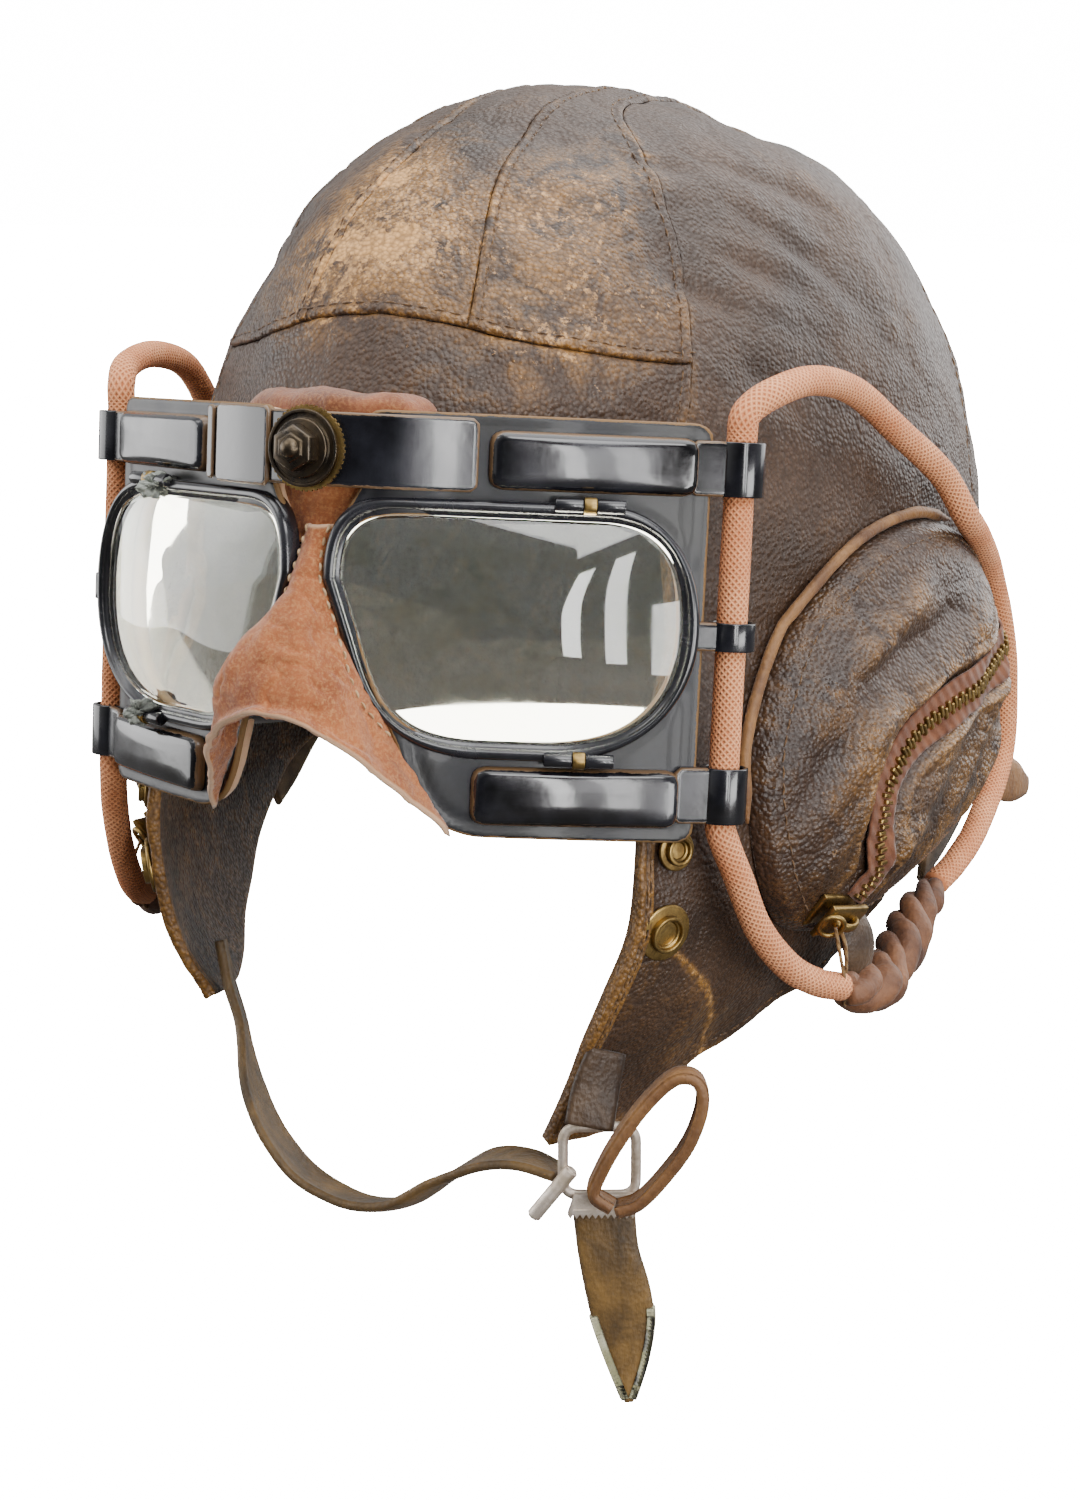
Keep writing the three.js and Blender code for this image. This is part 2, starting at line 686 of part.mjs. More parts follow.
// Outline of a lens rim in its own plane, u outwards from the bridge, made smaller by an inset.
function rimShape(inset) {
  const [inner, outer, top, bottom] = [4.6 + inset, 76.7 - inset, 24.8 - inset, -24.6 + inset];
  const shape = new THREE.Shape();
  shape.moveTo(inner, 9);
  shape.bezierCurveTo(inner, 19, inner + 3, top, inner + 13, top);
  shape.lineTo(57, top);
  shape.bezierCurveTo(70, top, outer, 14, outer, 1.5);
  shape.bezierCurveTo(outer, -13, 66, bottom, 48, bottom);
  shape.lineTo(36, bottom);
  shape.bezierCurveTo(20, bottom, 13 + inset, -16, 9.4 + inset, -5);
  shape.closePath();
  return shape;
}

// Places a shape drawn in the rim plane, from one depth to another along the way it looks.
function inRimPlane(geometry) {
  const across = new THREE.Vector3(Math.cos(RIM_WRAP), Math.sin(RIM_WRAP), 0);
  const out = new THREE.Vector3(Math.sin(RIM_WRAP), -Math.cos(RIM_WRAP), 0);
  const turn = new THREE.Matrix4().makeBasis(across, Z_AXIS, out);
  turn.setPosition(0, RIM_BRIDGE_Y, 0);
  return geometry.applyMatrix4(turn);
}

function rimPrism(shape, from, to) {
  const geometry = new THREE.ExtrudeGeometry(shape, { depth: to - from, bevelEnabled: false, curveSegments: RIM_STEPS });
  geometry.translate(0, 0, from);
  return toSolid(inRimPlane(geometry));
}

function addPlates() {
  const eye = rimPrism(rimShape(RIM_WIDTH), -60, 20);
  const plateFace = toSolid(prism(PLATE_OUTLINE, 'y', -60, 60));
  const plate = plateSlab(3, PLATE_END, 0, PLATE_THICK, -41, 42, 9).intersect(plateFace).subtract(eye);
  const padOutline = PLATE_OUTLINE.map(([x, z]) => [x > 60 ? x - 1.5 : x, z > 35 ? z - 0.5 : z]);
  const padFace = toSolid(prism(padOutline, 'y', -60, 60));
  const pad = plateSlab(3, PLATE_END, PLATE_THICK + GAP, PAD_BACK, -41, 42, 9).intersect(padFace).subtract(eye);
  const behindPlate = plateSlab(0, 80, -GAP, 60, -60, 60, 9);
  const wall = rimPrism(rimShape(0.4), -16, -1).subtract(rimPrism(rimShape(1.8), -17, 0));
  const ring = rimPrism(rimShape(0), -RIM_DEPTH, 0).subtract(rimPrism(rimShape(RIM_WIDTH), -RIM_DEPTH - 1, 1));
  const hinges = [24.4, -23.8].map((z) => rimPrism(rectangle(46, z - 2.2, 60, z + 1.6), -2.5, 1.6)
    .subtract(rimPrism(rimShape(RIM_WIDTH), -10, 4)));
  const rim = ring.add(wall).add(hinges[0]).add(hinges[1]).subtract(behindPlate);
  const lens = lensGeometry();
  for (const [side, word] of [[1, 'left'], [-1, 'right']]) {
    addMesh(`goggle_plate_${word}`, forSide(side, fromSolid(largestPiece(plate))), 'blackEnamel', goggles);
    addMesh(`face_pad_${word}`, forSide(side, fromSolid(largestPiece(pad))), 'padLeather', goggles);
    addMesh(`lens_rim_${word}`, forSide(side, fromSolid(largestPiece(rim))), 'darkSteel', goggles);
    addMesh(`lens_${word}`, forSide(side, lens), 'lensGlass', goggles);
    for (const [place, low, high, from, to] of [['upper', 26.9, 38.1, 30.3, 64], ['lower', -37.4, -26, 29.5, 63.5]]) {
      const panel = plateSlab(from, to, -3.4, -GAP, low, high, 5);
      addMesh(`plate_panel_${place}_${word}`, forSide(side, fromSolid(panel)), 'blackEnamel', goggles);
    }
  }
}

function rectangle(left, bottom, right, top) {
  return new THREE.Shape([[left, bottom], [right, bottom], [right, top], [left, top]]
    .map(([u, v]) => new THREE.Vector2(u, v)));
}

// Domed glass inside the rim.
function lensGeometry() {
  const outline = rimShape(RIM_WIDTH + GAP).getPoints(RIM_STEPS);
  const centre = new THREE.Vector2(41, 1);
  const rings = [1, 0.5];
  const place = (point, ring, depth) => new THREE.Vector3(
    centre.x + (point.x - centre.x) * ring,
    centre.y + (point.y - centre.y) * ring,
    depth + 4.5 * (1 - ring * ring),
  );
  const distinct = outline.filter((p, i) => i === 0 || p.distanceTo(outline[i - 1]) > 0.01)
    .filter((p, i, all) => i === 0 || p.distanceTo(all[0]) > 0.01);
  const sheet = (depth) => rings.map((ring) => distinct.map((p) => place(p, ring, depth))).reverse();
  const geometry = ringCup(sheet(-1.4), sheet(-3), place(centre, 0, -1.4), place(centre, 0, -3));
  return inRimPlane(geometry);
}

function addBridge() {
  const reach = 28.5;
  const bar = plateSlab(-reach, reach, -GAP - 1.7, -GAP, BAR_BOTTOM, BAR_TOP, 12);
  addMesh('bridge_bar', fromSolid(bar), 'blackEnamel', goggles);
  const middle = (BAR_BOTTOM + BAR_TOP) / 2;
  const face = platePlan(0) - GAP - 1.7;
  const disc = (radius, from, to, sides) => {
    const geometry = new THREE.CylinderGeometry(radius, radius, to - from, sides);
    geometry.translate(0, -(from + to) / 2, 0);
    geometry.translate(0, face, middle);
    return toSolid(geometry);
  };
  addMesh('bridge_washer', fromSolid(disc(7.3, GAP, 1.6, 20)), 'brass', goggles);
  const nut = disc(4.1, 1.6 + GAP, 5.6, 6).add(disc(2.1, 5, 7.6, 10)).add(disc(5.4, 1.6 + GAP, 2.6, 16));
  addMesh('bridge_nut', fromSolid(nut), 'darkSteel', goggles);
}

// Nose piece, a row for each step down it: the sewn edge and the crest over the nose.
const NOSE_ROWS = [
  { edgeX: 3.2, edgeY: -36.5, edgeZ: 19, crestY: -38.5, crestZ: 19 },
  { edgeX: 3.6, edgeY: -38, edgeZ: 11, crestY: -42.5, crestZ: 11.5 },
  { edgeX: 7, edgeY: -37.5, edgeZ: -1, crestY: -47, crestZ: 3 },
  { edgeX: 11.5, edgeY: -35.8, edgeZ: -12, crestY: -50.5, crestZ: -4.5 },
  { edgeX: 16.5, edgeY: -33.4, edgeZ: -24, crestY: -52.5, crestZ: -11.5 },
  { edgeX: 21.5, edgeY: -31.5, edgeZ: -38.5, crestY: -53.5, crestZ: -17.5 },
];

const NOSE_FULLNESS = 2.1;

function addNosePiece() {
  const across = 7;
  const front = [];
  const back = [];
  for (const row of NOSE_ROWS) {
    const frontRow = [];
    const backRow = [];
    for (let k = 0; k < across; k += 1) {
      const u = -1 + 2 * k / (across - 1);
      const bend = Math.abs(u) ** NOSE_FULLNESS;
      const x = row.edgeX * u;
      const y = row.crestY + (row.edgeY - row.crestY) * bend;
      const z = row.crestZ + (row.edgeZ - row.crestZ) * bend;
      frontRow.push(new THREE.Vector3(x, y, z));
      backRow.push(new THREE.Vector3(x * 0.93, y + 1.6, z));
    }
    front.push(frontRow);
    back.push(backRow);
  }
  const sewn = PLATE_OUTLINE.map(([x, z]) => [x - 1, z]);
  let nose = toSolid(facingOut(sheetSolid(front, back)));
  for (const side of [1, -1]) {
    const rimRoom = rimPrism(rimShape(-GAP), -RIM_DEPTH - 6, 1.9);
    const plateRoom = plateSlab(1.5, PLATE_END, -GAP, PAD_BACK + GAP, -42, 43, 9)
      .intersect(toSolid(prism(sewn, 'y', -60, 60)));
    const room = rimRoom.add(plateRoom);
    nose = nose.subtract(side > 0 ? room : toSolid(mirrored(fromSolid(room))));
  }
  addMesh('nose_piece', fromSolid(largestPiece(nose)), 'padLeather', goggles);
}

// Cushion behind the bridge, thick enough to rest on the brow of the cap.
function addBrowPad() {
  const steps = 6;
  const [from, to] = [-17, 22];
  const [near, far] = [PAD_BACK + GAP, 22];
  const rows = [];
  for (let k = 0; k <= steps; k += 1) {
    const x = from + (to - from) * k / steps;
    const end = k === 0 || k === steps;
    rows.push({
      at: [x, platePlan(x) + (near + far) / 2, 39.4],
      across: [0, 0, 1],
      width: end ? 7 : 9.6,
      thick: far - near,
    });
  }
  goggles.updateMatrixWorld(true);
  const cap = capShell(-GAP, 30).applyMatrix4(goggles.matrixWorld.clone().invert());
  const padRoom = plateSlab(-30, 30, -5, near, 0, 50, 8);
  const cushion = toSolid(band(rows)).subtract(toSolid(cap)).subtract(padRoom);
  addMesh('brow_pad', fromSolid(largestPiece(cushion)), 'padLeather', goggles);
}

function addCordClamps() {
  const { x: axisX, y: axisY } = CLAMP_AXIS;
  const rod = (radius, bottom, top, sides) => {
    const geometry = new THREE.CylinderGeometry(radius, radius, top - bottom, sides);
    geometry.rotateX(Math.PI / 2);
    geometry.translate(axisX, axisY, (bottom + top) / 2);
    return toSolid(geometry);
  };
  const clamps = [
    { place: 'top', bottom: 27.2, top: 37.8 },
    { place: 'middle', bottom: -2.6, top: 3 },
    { place: 'bottom', bottom: -36.4, top: -25.4 },
  ];
  for (const clamp of clamps) {
    const wing = plateSlab(64.4, 69, -GAP - 1.2, -GAP, clamp.bottom, clamp.top, 2)
      .add(plateSlab(66.4, 69.4, -GAP - 1.2, 2, clamp.bottom, clamp.top, 1));
    const outer = rod(CORD_RADIUS + 2.5 * GAP + 1, clamp.bottom, clamp.top, 8);
    const hole = rod(CORD_RADIUS + 2.5 * GAP, clamp.bottom - 1, clamp.top + 1, 8);
    const plateRoom = plateSlab(50, PLATE_END + GAP, -GAP, PAD_BACK + GAP, -45, 45, 4);
    const rimRoom = rimPrism(rimShape(-GAP), -RIM_DEPTH - 9, 3);
    const solid = wing.add(outer).subtract(hole).subtract(plateRoom).subtract(rimRoom);
    for (const [side, word] of [[1, 'left'], [-1, 'right']]) {
      addMesh(`cord_clamp_${clamp.place}_${word}`, forSide(side, fromSolid(largestPiece(solid))), 'blackEnamel', goggles);
    }
  }
}

// Cords, held by the clamps and looped round the ear pockets. World frame, wearer's left.

function gogglePoint(x, y, z) {
  goggles.updateMatrixWorld(true);
  return new THREE.Vector3(x, y, z).applyMatrix4(goggles.matrixWorld).toArray();
}

const CORD_LOOP = [
  [70.9, -75.2, -58.8],
  [74, -68, -55.5],
  [77, -53, -54.5],
  [80, -35, -58.5],
  [84.5, -19, -68],
  [90.5, -4, -79],
  [93.6, 3, -88],
  [93.8, 17, -96.3],
  [93, 31, -106.3],
  [93.5, 42.5, -123],
  [93, 49.5, -140],
  [93.2, 46, -153.5],
  [93.6, 24, -164.8],
  [92.2, 11, -170],
  [90, 3, -173],
];
const CORD_UNDER = [
  [73, -82, -150],
  [75.5, -76.5, -162],
  [79, -68, -172],
  [82.5, -60, -177.5],
  [85.5, -52.2, -180.6],
];
const WRAP_ROWS = [
  { at: [85.8, -51.4, -181], radius: 3.8 },
  { at: [87.5, -45, -183], radius: 5.6 },
  { at: [88, -36, -184], radius: 6.8 },
  { at: [88.3, -28, -182.5], radius: 5.8 },
  { at: [88.5, -19, -180.5], radius: 6.8 },
  { at: [88.5, -10, -177], radius: 5.6 },
  { at: [89.2, -3, -174.8], radius: 4.2 },
  { at: [89.4, 2, -173.6], radius: 3.3 },
];

// Strap round the back of the cap that holds the two cords, from the wearer's left.
const WEB_THICK = 1.6;
const STRAP_ROWS = [
  { direction: 93, z: -171, width: 8 },
  { direction: 98, z: -167, width: 9 },
  { direction: 106, z: -158, width: 11 },
  { direction: 114, z: -150, width: 13 },
  { direction: 122, z: -145.5, width: 14 },
  { direction: 131, z: -142.5, width: 14 },
  { direction: 141, z: -141, width: 14 },
  { direction: 152, z: -140, width: 14 },
  { direction: 166, z: -140, width: 14 },
  { direction: 180, z: -140, width: 14 },
];

// Outline of a ribbon drawn flat through rows of { y, z, width }.
function ribbonOutline(rows) {
  const sides = [[], []];
  rows.forEach((row, i) => {
    const before = rows[Math.max(i - 1, 0)];
    const after = rows[Math.min(i + 1, rows.length - 1)];
    const along = new THREE.Vector2(after.y - before.y, after.z - before.z).normalize();
    const half = row.width / 2;
    sides[0].push([row.y - along.y * half, row.z + along.x * half]);
    sides[1].push([row.y + along.y * half, row.z - along.x * half]);
  });
  return [...sides[0], ...sides[1].reverse()];
}

function addCords() {
  const clamped = [30, 15, 0, -15, -34].map((z) => gogglePoint(CLAMP_AXIS.x, CLAMP_AXIS.y, z));
  const route = [...CORD_LOOP.slice().reverse(), gogglePoint(CLAMP_AXIS.x, CLAMP_AXIS.y, 38.5), ...clamped,
    gogglePoint(CLAMP_AXIS.x, CLAMP_AXIS.y, -38), ...CORD_UNDER];
  const cord = facingOut(mergeVertices(bareGeometry(tube(route, CORD_RADIUS, 6, 37))));
  const wrap = lumpyTube(WRAP_ROWS, 8);
  for (const [side, word] of [[1, 'left'], [-1, 'right']]) {
    addMesh(`goggle_cord_${word}`, forSide(side, cord), 'cordCotton');
    addMesh(`cord_wrap_${word}`, forSide(side, wrap), 'wrapLeather');
  }
  const half = STRAP_ROWS.map((row) => wallRow(row, 0.9));
  const other = half.slice(0, -1).reverse().map((row) => ({
    ...row,
    at: [-row.at[0], row.at[1], row.at[2]],
    across: [-row.across[0], row.across[1], row.across[2]],
  }));
  addMesh('goggle_strap', band([...half, ...other]), 'strapWebbing');
}

// A row of a band that lies on the cap in a direction, its width up the wall.
function wallRow({ direction, z, width }, lift) {
  const at = (turn, height) => {
    const point = smoothWall(THREE.MathUtils.degToRad(turn), height);
    const depth = dentDepth(point);
    return point.addScaledVector(new THREE.Vector3(point.x, point.y, 0).normalize(), -depth);
  };
  const around = at(direction + 1, z).sub(at(direction - 1, z));
  const up = at(direction, z + 1).sub(at(direction, z - 1));
  const normal = around.cross(up).normalize();
  const place = at(direction, z).addScaledVector(normal, lift + WEB_THICK / 2);
  return { at: place.toArray(), across: up.toArray(), width, thick: WEB_THICK };
}

// A tube whose radius changes from row to row.
function lumpyTube(rows, sides) {
  const rings = rows.map((row, i) => {
    const before = new THREE.Vector3(...rows[Math.max(i - 1, 0)].at);
    const along = new THREE.Vector3(...rows[Math.min(i + 1, rows.length - 1)].at).sub(before).normalize();
    const across = new THREE.Vector3().crossVectors(along, Z_AXIS).normalize();
    const up = new THREE.Vector3().crossVectors(across, along);
    const ring = [];
    for (let k = 0; k < sides; k += 1) {
      const angle = 2 * Math.PI * k / sides;
      ring.push(new THREE.Vector3(...row.at).addScaledVector(across, row.radius * Math.cos(angle))
        .addScaledVector(up, row.radius * Math.sin(angle)));
    }
    return ring;
  });
  return closedTube(rings);
}

// A solid through rings of points, closed by a fan at each end.
function closedTube(rings) {
  const sides = rings[0].length;
  const positions = rings.flat().flatMap((p) => [p.x, p.y, p.z]);
  const middle = (ring) => ring.reduce((sum, p) => sum.add(p), new THREE.Vector3()).divideScalar(sides);
  const [first, last] = [middle(rings[0]), middle(rings[rings.length - 1])];
  positions.push(first.x, first.y, first.z, last.x, last.y, last.z);
  const count = rings.length * sides;
  const triangles = [];
  for (let k = 0; k < sides; k += 1) {
    const next = (k + 1) % sides;
    for (let i = 0; i < rings.length - 1; i += 1) {
      const [a, b] = [i * sides, (i + 1) * sides];
      triangles.push(a + k, b + k, b + next, a + k, b + next, a + next);
    }
    const end = (rings.length - 1) * sides;
    triangles.push(count, k, next, count + 1, end + next, end + k);
  }
  return facingOut(toGeometry(positions, triangles));
}

// Chin strap, its buckle and its free end

const CAMERA_SIDE = [0.91, 0.41, 0];
const CHIN_ROWS = [
  { at: [-49.3, -78.5, -180], across: [0.5, -0.86, 0], width: 12 },
  { at: [-46.8, -80, -188], across: [0.5, -0.86, 0], width: 12 },
  { at: [-42.3, -82.6, -197], across: [0.5, -0.86, 0], width: 12 },
  { at: [-36, -89, -208], across: [0.3, -0.95, 0.15], width: 14 },
  { at: [-28.9, -93, -217], across: [0.2, -0.97, 0.2], width: 14 },
  { at: [-20.6, -93, -225.5], across: [0.1, -0.98, 0.25], width: 14 },
  { at: [-9, -93, -229.5], across: [0, -0.98, 0.3], width: 14 },
  { at: [2, -93, -227.5], across: [-0.1, -0.97, 0.25], width: 14 },
  { at: [12, -93, -220.5], across: [-0.1, -0.99, 0.15], width: 14 },
  { at: [22, -93, -214.5], across: [0, -1, 0.05], width: 13 },
  { at: [31, -93, -213], across: [0, -1, 0.15], width: 13 },
  { at: [39.3, -93.2, -214.9], across: [0.1, -0.95, 0.3], width: 13 },
];
const TAIL_ROWS = [
  { at: [49, -93.5, -221], across: CAMERA_SIDE, width: 12.8 },
  { at: [50.4, -94.5, -229], across: CAMERA_SIDE, width: 12.6 },
  { at: [52.4, -94, -238], across: CAMERA_SIDE, width: 13.4 },
  { at: [53.4, -93.5, -244.5], across: CAMERA_SIDE, width: 12.6 },
  { at: [54.2, -93.5, -253], across: CAMERA_SIDE, width: 8.6 },
  { at: [54.8, -94, -262], across: CAMERA_SIDE, width: 2.4 },
];
const BUCKLE_PLACE = [48.4, -94.5, -209.5];
const BUCKLE_TURN = THREE.MathUtils.degToRad(24);

function addChinStrap() {
  const rows = (table) => table.map((row) => ({ ...row, thick: STRAP_THICK }));
  addMesh('chin_strap', band(rows(CHIN_ROWS)), 'strapWebbing');
  addMesh('strap_tail', band(rows(TAIL_ROWS)), 'strapWebbing');
}

function roundedShape(width, height, radius) {
  const [w, h] = [width / 2, height / 2];
  const shape = new THREE.Shape();
  shape.moveTo(-w + radius, -h);
  shape.lineTo(w - radius, -h);
  shape.absarc(w - radius, -h + radius, radius, -Math.PI / 2, 0, false);
  shape.lineTo(w, h - radius);
  shape.absarc(w - radius, h - radius, radius, 0, Math.PI / 2, false);
  shape.lineTo(-w + radius, h);
  shape.absarc(-w + radius, h - radius, radius, Math.PI / 2, Math.PI, false);
  shape.lineTo(-w, -h + radius);
  shape.absarc(-w + radius, -h + radius, radius, Math.PI, Math.PI * 1.5, false);
  return shape;
}

// The buckle stands in a frame of its own: X to its right, Z up, -Y out.
function addBuckle() {
  const buckle = new THREE.Group();
  buckle.position.set(...BUCKLE_PLACE);
  buckle.rotation.z = BUCKLE_TURN;
  part.add(buckle);
  const wire = 2.2;
  const frame = roundedShape(17, 17, 3.5);
  frame.holes.push(roundedShape(17 - 2 * wire, 17 - 2 * wire, 1.8));
  const frameSolid = toSolid(prism(frame, 'y', -wire / 2, wire / 2));
  const roller = new THREE.CapsuleGeometry(1.5, 10, 2, 6);
  roller.rotateZ(THREE.MathUtils.degToRad(-38));
  roller.rotateX(Math.PI / 2);
  roller.translate(-9.6, -1.2, -6.5);
  addMesh('chin_buckle', fromSolid(frameSolid.add(toSolid(roller))), 'nickel', buckle);

  const teeth = 9;
  const [left, right, top, bottom, tooth] = [-6.6, 8, -6.2, -10.6, 1];
  const outline = [[left, bottom], [left + 1.4, top], [right, top], [right - 0.6, bottom]];
  const pitch = (right - 0.6 - left) / teeth;
  for (let k = teeth; k > 0; k -= 1) {
    outline.push([left + pitch * (k - 0.5), bottom - tooth], [left + pitch * (k - 1), bottom]);
  }
  outline.pop();
  addMesh('buckle_clamp', fromSolid(toSolid(prism(outline, 'y', wire / 2 + GAP, wire / 2 + GAP + 1.4))), 'nickel', buckle);
}

const KEEPER_ROWS = [
  [50.6, -100.2, -211],
  [54.6, -99.8, -202],
  [60, -97.6, -193.5],
  [65.5, -96, -188],
  [69.6, -95, -188.4],
  [70.8, -95, -193],
  [68.6, -96, -201],
  [64, -97, -208.5],
  [58.4, -98.2, -214],
];

function addBuckleLeather() {
  const keeper = KEEPER_ROWS.map((at) => ({ at, across: [-0.41, 0.91, 0], width: 6, thick: 2.4 }));
  addMesh('strap_keeper', band(keeper), 'tanLeather');
  const tab = [
    { at: [49.5, -93.2, -186], across: [0.64, 0.77, 0], width: 9, thick: 2 },
    { at: [48.1, -95.6, -193.5], across: [0.8, 0.6, 0], width: 10, thick: 2 },
    { at: [47.6, -98.2, -201], across: CAMERA_SIDE, width: 10, thick: 2 },
  ];
  addMesh('buckle_tab', band(tab), 'capLeather');
}

// Press studs on the cheek flaps, and the leather tab behind the ear

const STUDS = [
  { place: 'upper', y: -86, z: -144.5, base: 4.2, cap: 3 },
  { place: 'lower', y: -88, z: -161, base: 6, cap: 3.9 },
];

function studGeometry(stud) {
  const disc = (radius, height, lift, sides) => {
    const geometry = new THREE.CylinderGeometry(radius, radius, height, sides);
    geometry.rotateX(Math.PI / 2);
    geometry.translate(0, 0, lift + height / 2);
    return toSolid(geometry);
  };
  const solid = disc(stud.base, 2, -1.2, 12).add(disc(stud.cap, 2, 0.4, 10));
  const geometry = fromSolid(solid);
  const normal = sideNormal(stud.y, stud.z);
  const turn = new THREE.Quaternion().setFromUnitVectors(Z_AXIS, normal);
  const seat = new THREE.Vector3(sideHalfWidth(stud.y, stud.z), stud.y, stud.z).addScaledVector(normal, GAP * 1.6);
  geometry.applyMatrix4(new THREE.Matrix4().compose(seat, turn, new THREE.Vector3(1, 1, 1)));
  return fromSolid(toSolid(geometry).subtract(toSolid(capShell(-GAP, 8))));
}

const REAR_TAB_ROWS = [
  { at: [84.6, 55, -160.5], width: 12 },
  { at: [81.6, 63, -161], width: 13 },
  { at: [83.5, 74, -164.5], width: 13 },
  { at: [87, 86, -169.5], width: 11 },
  { at: [88, 94, -172.5], width: 6 },
];

function addSmallLeather() {
  for (const stud of STUDS) {
    const geometry = studGeometry(stud);
    for (const [side, word] of [[1, 'left'], [-1, 'right']]) {
      addMesh(`press_stud_${stud.place}_${word}`, forSide(side, geometry), 'brass');
    }
  }
  const rows = REAR_TAB_ROWS.map((row) => ({ ...row, across: [0, 0.3, 1], thick: STRAP_THICK }));
  addMesh('rear_tab', band(rows), 'tanLeather');
}

// Zip across the lower rear of an ear pocket, seen from the side

const ZIP_LINE = [
  { y: 22, z: -119, width: 13 },
  { y: 4, z: -123.5, width: 13 },
  { y: -14, z: -127, width: 13 },
  { y: -28, z: -132, width: 12 },
  { y: -37, z: -139, width: 11 },
  { y: -40, z: -148, width: 11 },
  { y: -40, z: -157, width: 10 },
];
const ZIP_SLIDER = { at: [82.4, -49.4, -164.6], out: [0.72, -0.35, -0.6], along: [-0.3, -0.9, 0.1] };

// The slider and its pull ring, on the pocket and clear of it.
function sliderGeometry() {
  const out = new THREE.Vector3(...ZIP_SLIDER.out).normalize();
  const along = new THREE.Vector3(...ZIP_SLIDER.along);
  along.addScaledVector(out, -along.dot(out)).normalize();
  const turn = new THREE.Matrix4().makeBasis(along, new THREE.Vector3().crossVectors(out, along), out);
  turn.setPosition(...ZIP_SLIDER.at);
  const body = new THREE.BoxGeometry(11, 7.5, 6);
  const bridge = new THREE.BoxGeometry(6, 2.6, 2.4).translate(0, 0, 4);
  const pull = new THREE.TorusGeometry(2.6, 0.8, 5, 8).translate(6.5, 0, 3.4);
  const solid = toSolid(body).add(toSolid(bridge)).add(toSolid(pull));
  return fromSolid(toSolid(fromSolid(solid).applyMatrix4(turn))
    .subtract(toSolid(pocketShell(-GAP, 9)))
    .subtract(toSolid(capShell(-GAP, 12))));
}

function addZips() {
  const tapeFlat = toSolid(prism(ribbonOutline(ZIP_LINE), 'x', 60, 130));
  const slider = sliderGeometry();
  const tape = toSolid(pocketShell(-GAP - 0.9, -GAP)).intersect(tapeFlat);
  for (const [side, word] of [[1, 'left'], [-1, 'right']]) {
    addMesh(`zip_tape_${word}`, forSide(side, fromSolid(largestPiece(tape))), 'zipCotton');
    addMesh(`zip_slider_${word}`, forSide(side, fromSolid(largestPiece(toSolid(slider)))), 'brass');
  }
}

addCapPanels();
addPockets();
addPlates();
addBridge();
addNosePiece();
addBrowPad();
addCordClamps();
addCords();
addChinStrap();
addBuckle();
addBuckleLeather();
addSmallLeather();
addZips();

export default part;
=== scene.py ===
# Worn leather flying cap with goggles: the pieces that are seen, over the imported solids.
# Tables are in millimetres. +Z is up, -Y the wearer's front, +X the wearer's left,
# and the origin is the inside top of the crown.
import functools
import math
import random

import bmesh
import bpy
import numpy as np
from mathutils import Matrix, Vector, noise


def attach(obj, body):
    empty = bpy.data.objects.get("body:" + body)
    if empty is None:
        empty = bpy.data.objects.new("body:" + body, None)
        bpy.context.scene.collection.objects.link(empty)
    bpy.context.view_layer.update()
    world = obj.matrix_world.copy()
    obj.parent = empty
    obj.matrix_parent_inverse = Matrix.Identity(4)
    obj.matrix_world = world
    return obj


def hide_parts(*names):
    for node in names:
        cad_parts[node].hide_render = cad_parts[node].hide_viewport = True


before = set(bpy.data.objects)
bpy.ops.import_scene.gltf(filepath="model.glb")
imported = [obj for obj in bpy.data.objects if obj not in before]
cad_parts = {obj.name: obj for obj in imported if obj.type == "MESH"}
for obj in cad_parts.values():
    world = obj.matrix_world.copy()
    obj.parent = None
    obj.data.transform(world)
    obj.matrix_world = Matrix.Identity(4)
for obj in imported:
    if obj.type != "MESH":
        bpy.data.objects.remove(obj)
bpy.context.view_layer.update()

# Driving dimensions
MM = 0.001
LEATHER = 2.0          # wall of the cap
GAP = 0.3              # between pieces that touch
FAR = 60.0             # from an edge: too far to feel it
SEAM_GAP = 0.02        # half the crack between two panels that are sewn together
LAP = 1.0              # how far an under panel reaches below the over one
SKIVED = 1.05          # how much thinner an over panel is pared at its edge
EAR_LEVEL = -104.5     # where the dome of the crown ends
DOME_RISE = 107.0
DOME_POWER = 2.14
FLAP_TOP = -95.0
POCKET_DOME = 12.6
CORD_RADIUS = 3.0
PIPING_RADIUS = 1.25
GOGGLE_PITCH = math.radians(-7)
GOGGLE_PLACE = (0, -83.1, -101.5)
THREAD = 0.22          # radius of the sewing thread
STITCH_PITCH = 3.3
STITCH_LENGTH = 2.5
TRANSMITTED = 6        # output of the ray node for rays through glass
WAVES_PER_UNIT = 6.2   # bands of a wave texture in one unit of its scale
LEFT, RIGHT = 1, -1
SIDES = ((LEFT, "left"), (RIGHT, "right"))
random.seed(11)

# height; reach to the front, to the back, half width, taper, power
CAP_SECTIONS = np.array([
    (-212, 116, 93, 56, 0.18, 2.3), (-194, 119, 94, 71, 0.18, 2.3),
    (-182, 122, 95, 79, 0.17, 2.35), (-168, 124, 97, 83, 0.16, 2.4),
    (-150, 124, 101, 86, 0.16, 2.4), (-125, 120, 106, 86, 0.19, 2.3),
    (-104.5, 109, 109, 85, 0.235, 2.13)])
# direction in degrees, height; spread along the wall and up it, depth
CAP_DENTS = (
    (-62, -36, 20, 9, 1.6), (40, -8, 18, 6, 1.6), (118, -5, 18, 7, 2.6), (60, -34, 22, 14, 2),
    (-30, -26, 20, 12, -1.4), (150, -40, 30, 20, 1.8), (-150, -60, 30, 22, 2),
    (48, -78, 14, 18, 1.6))
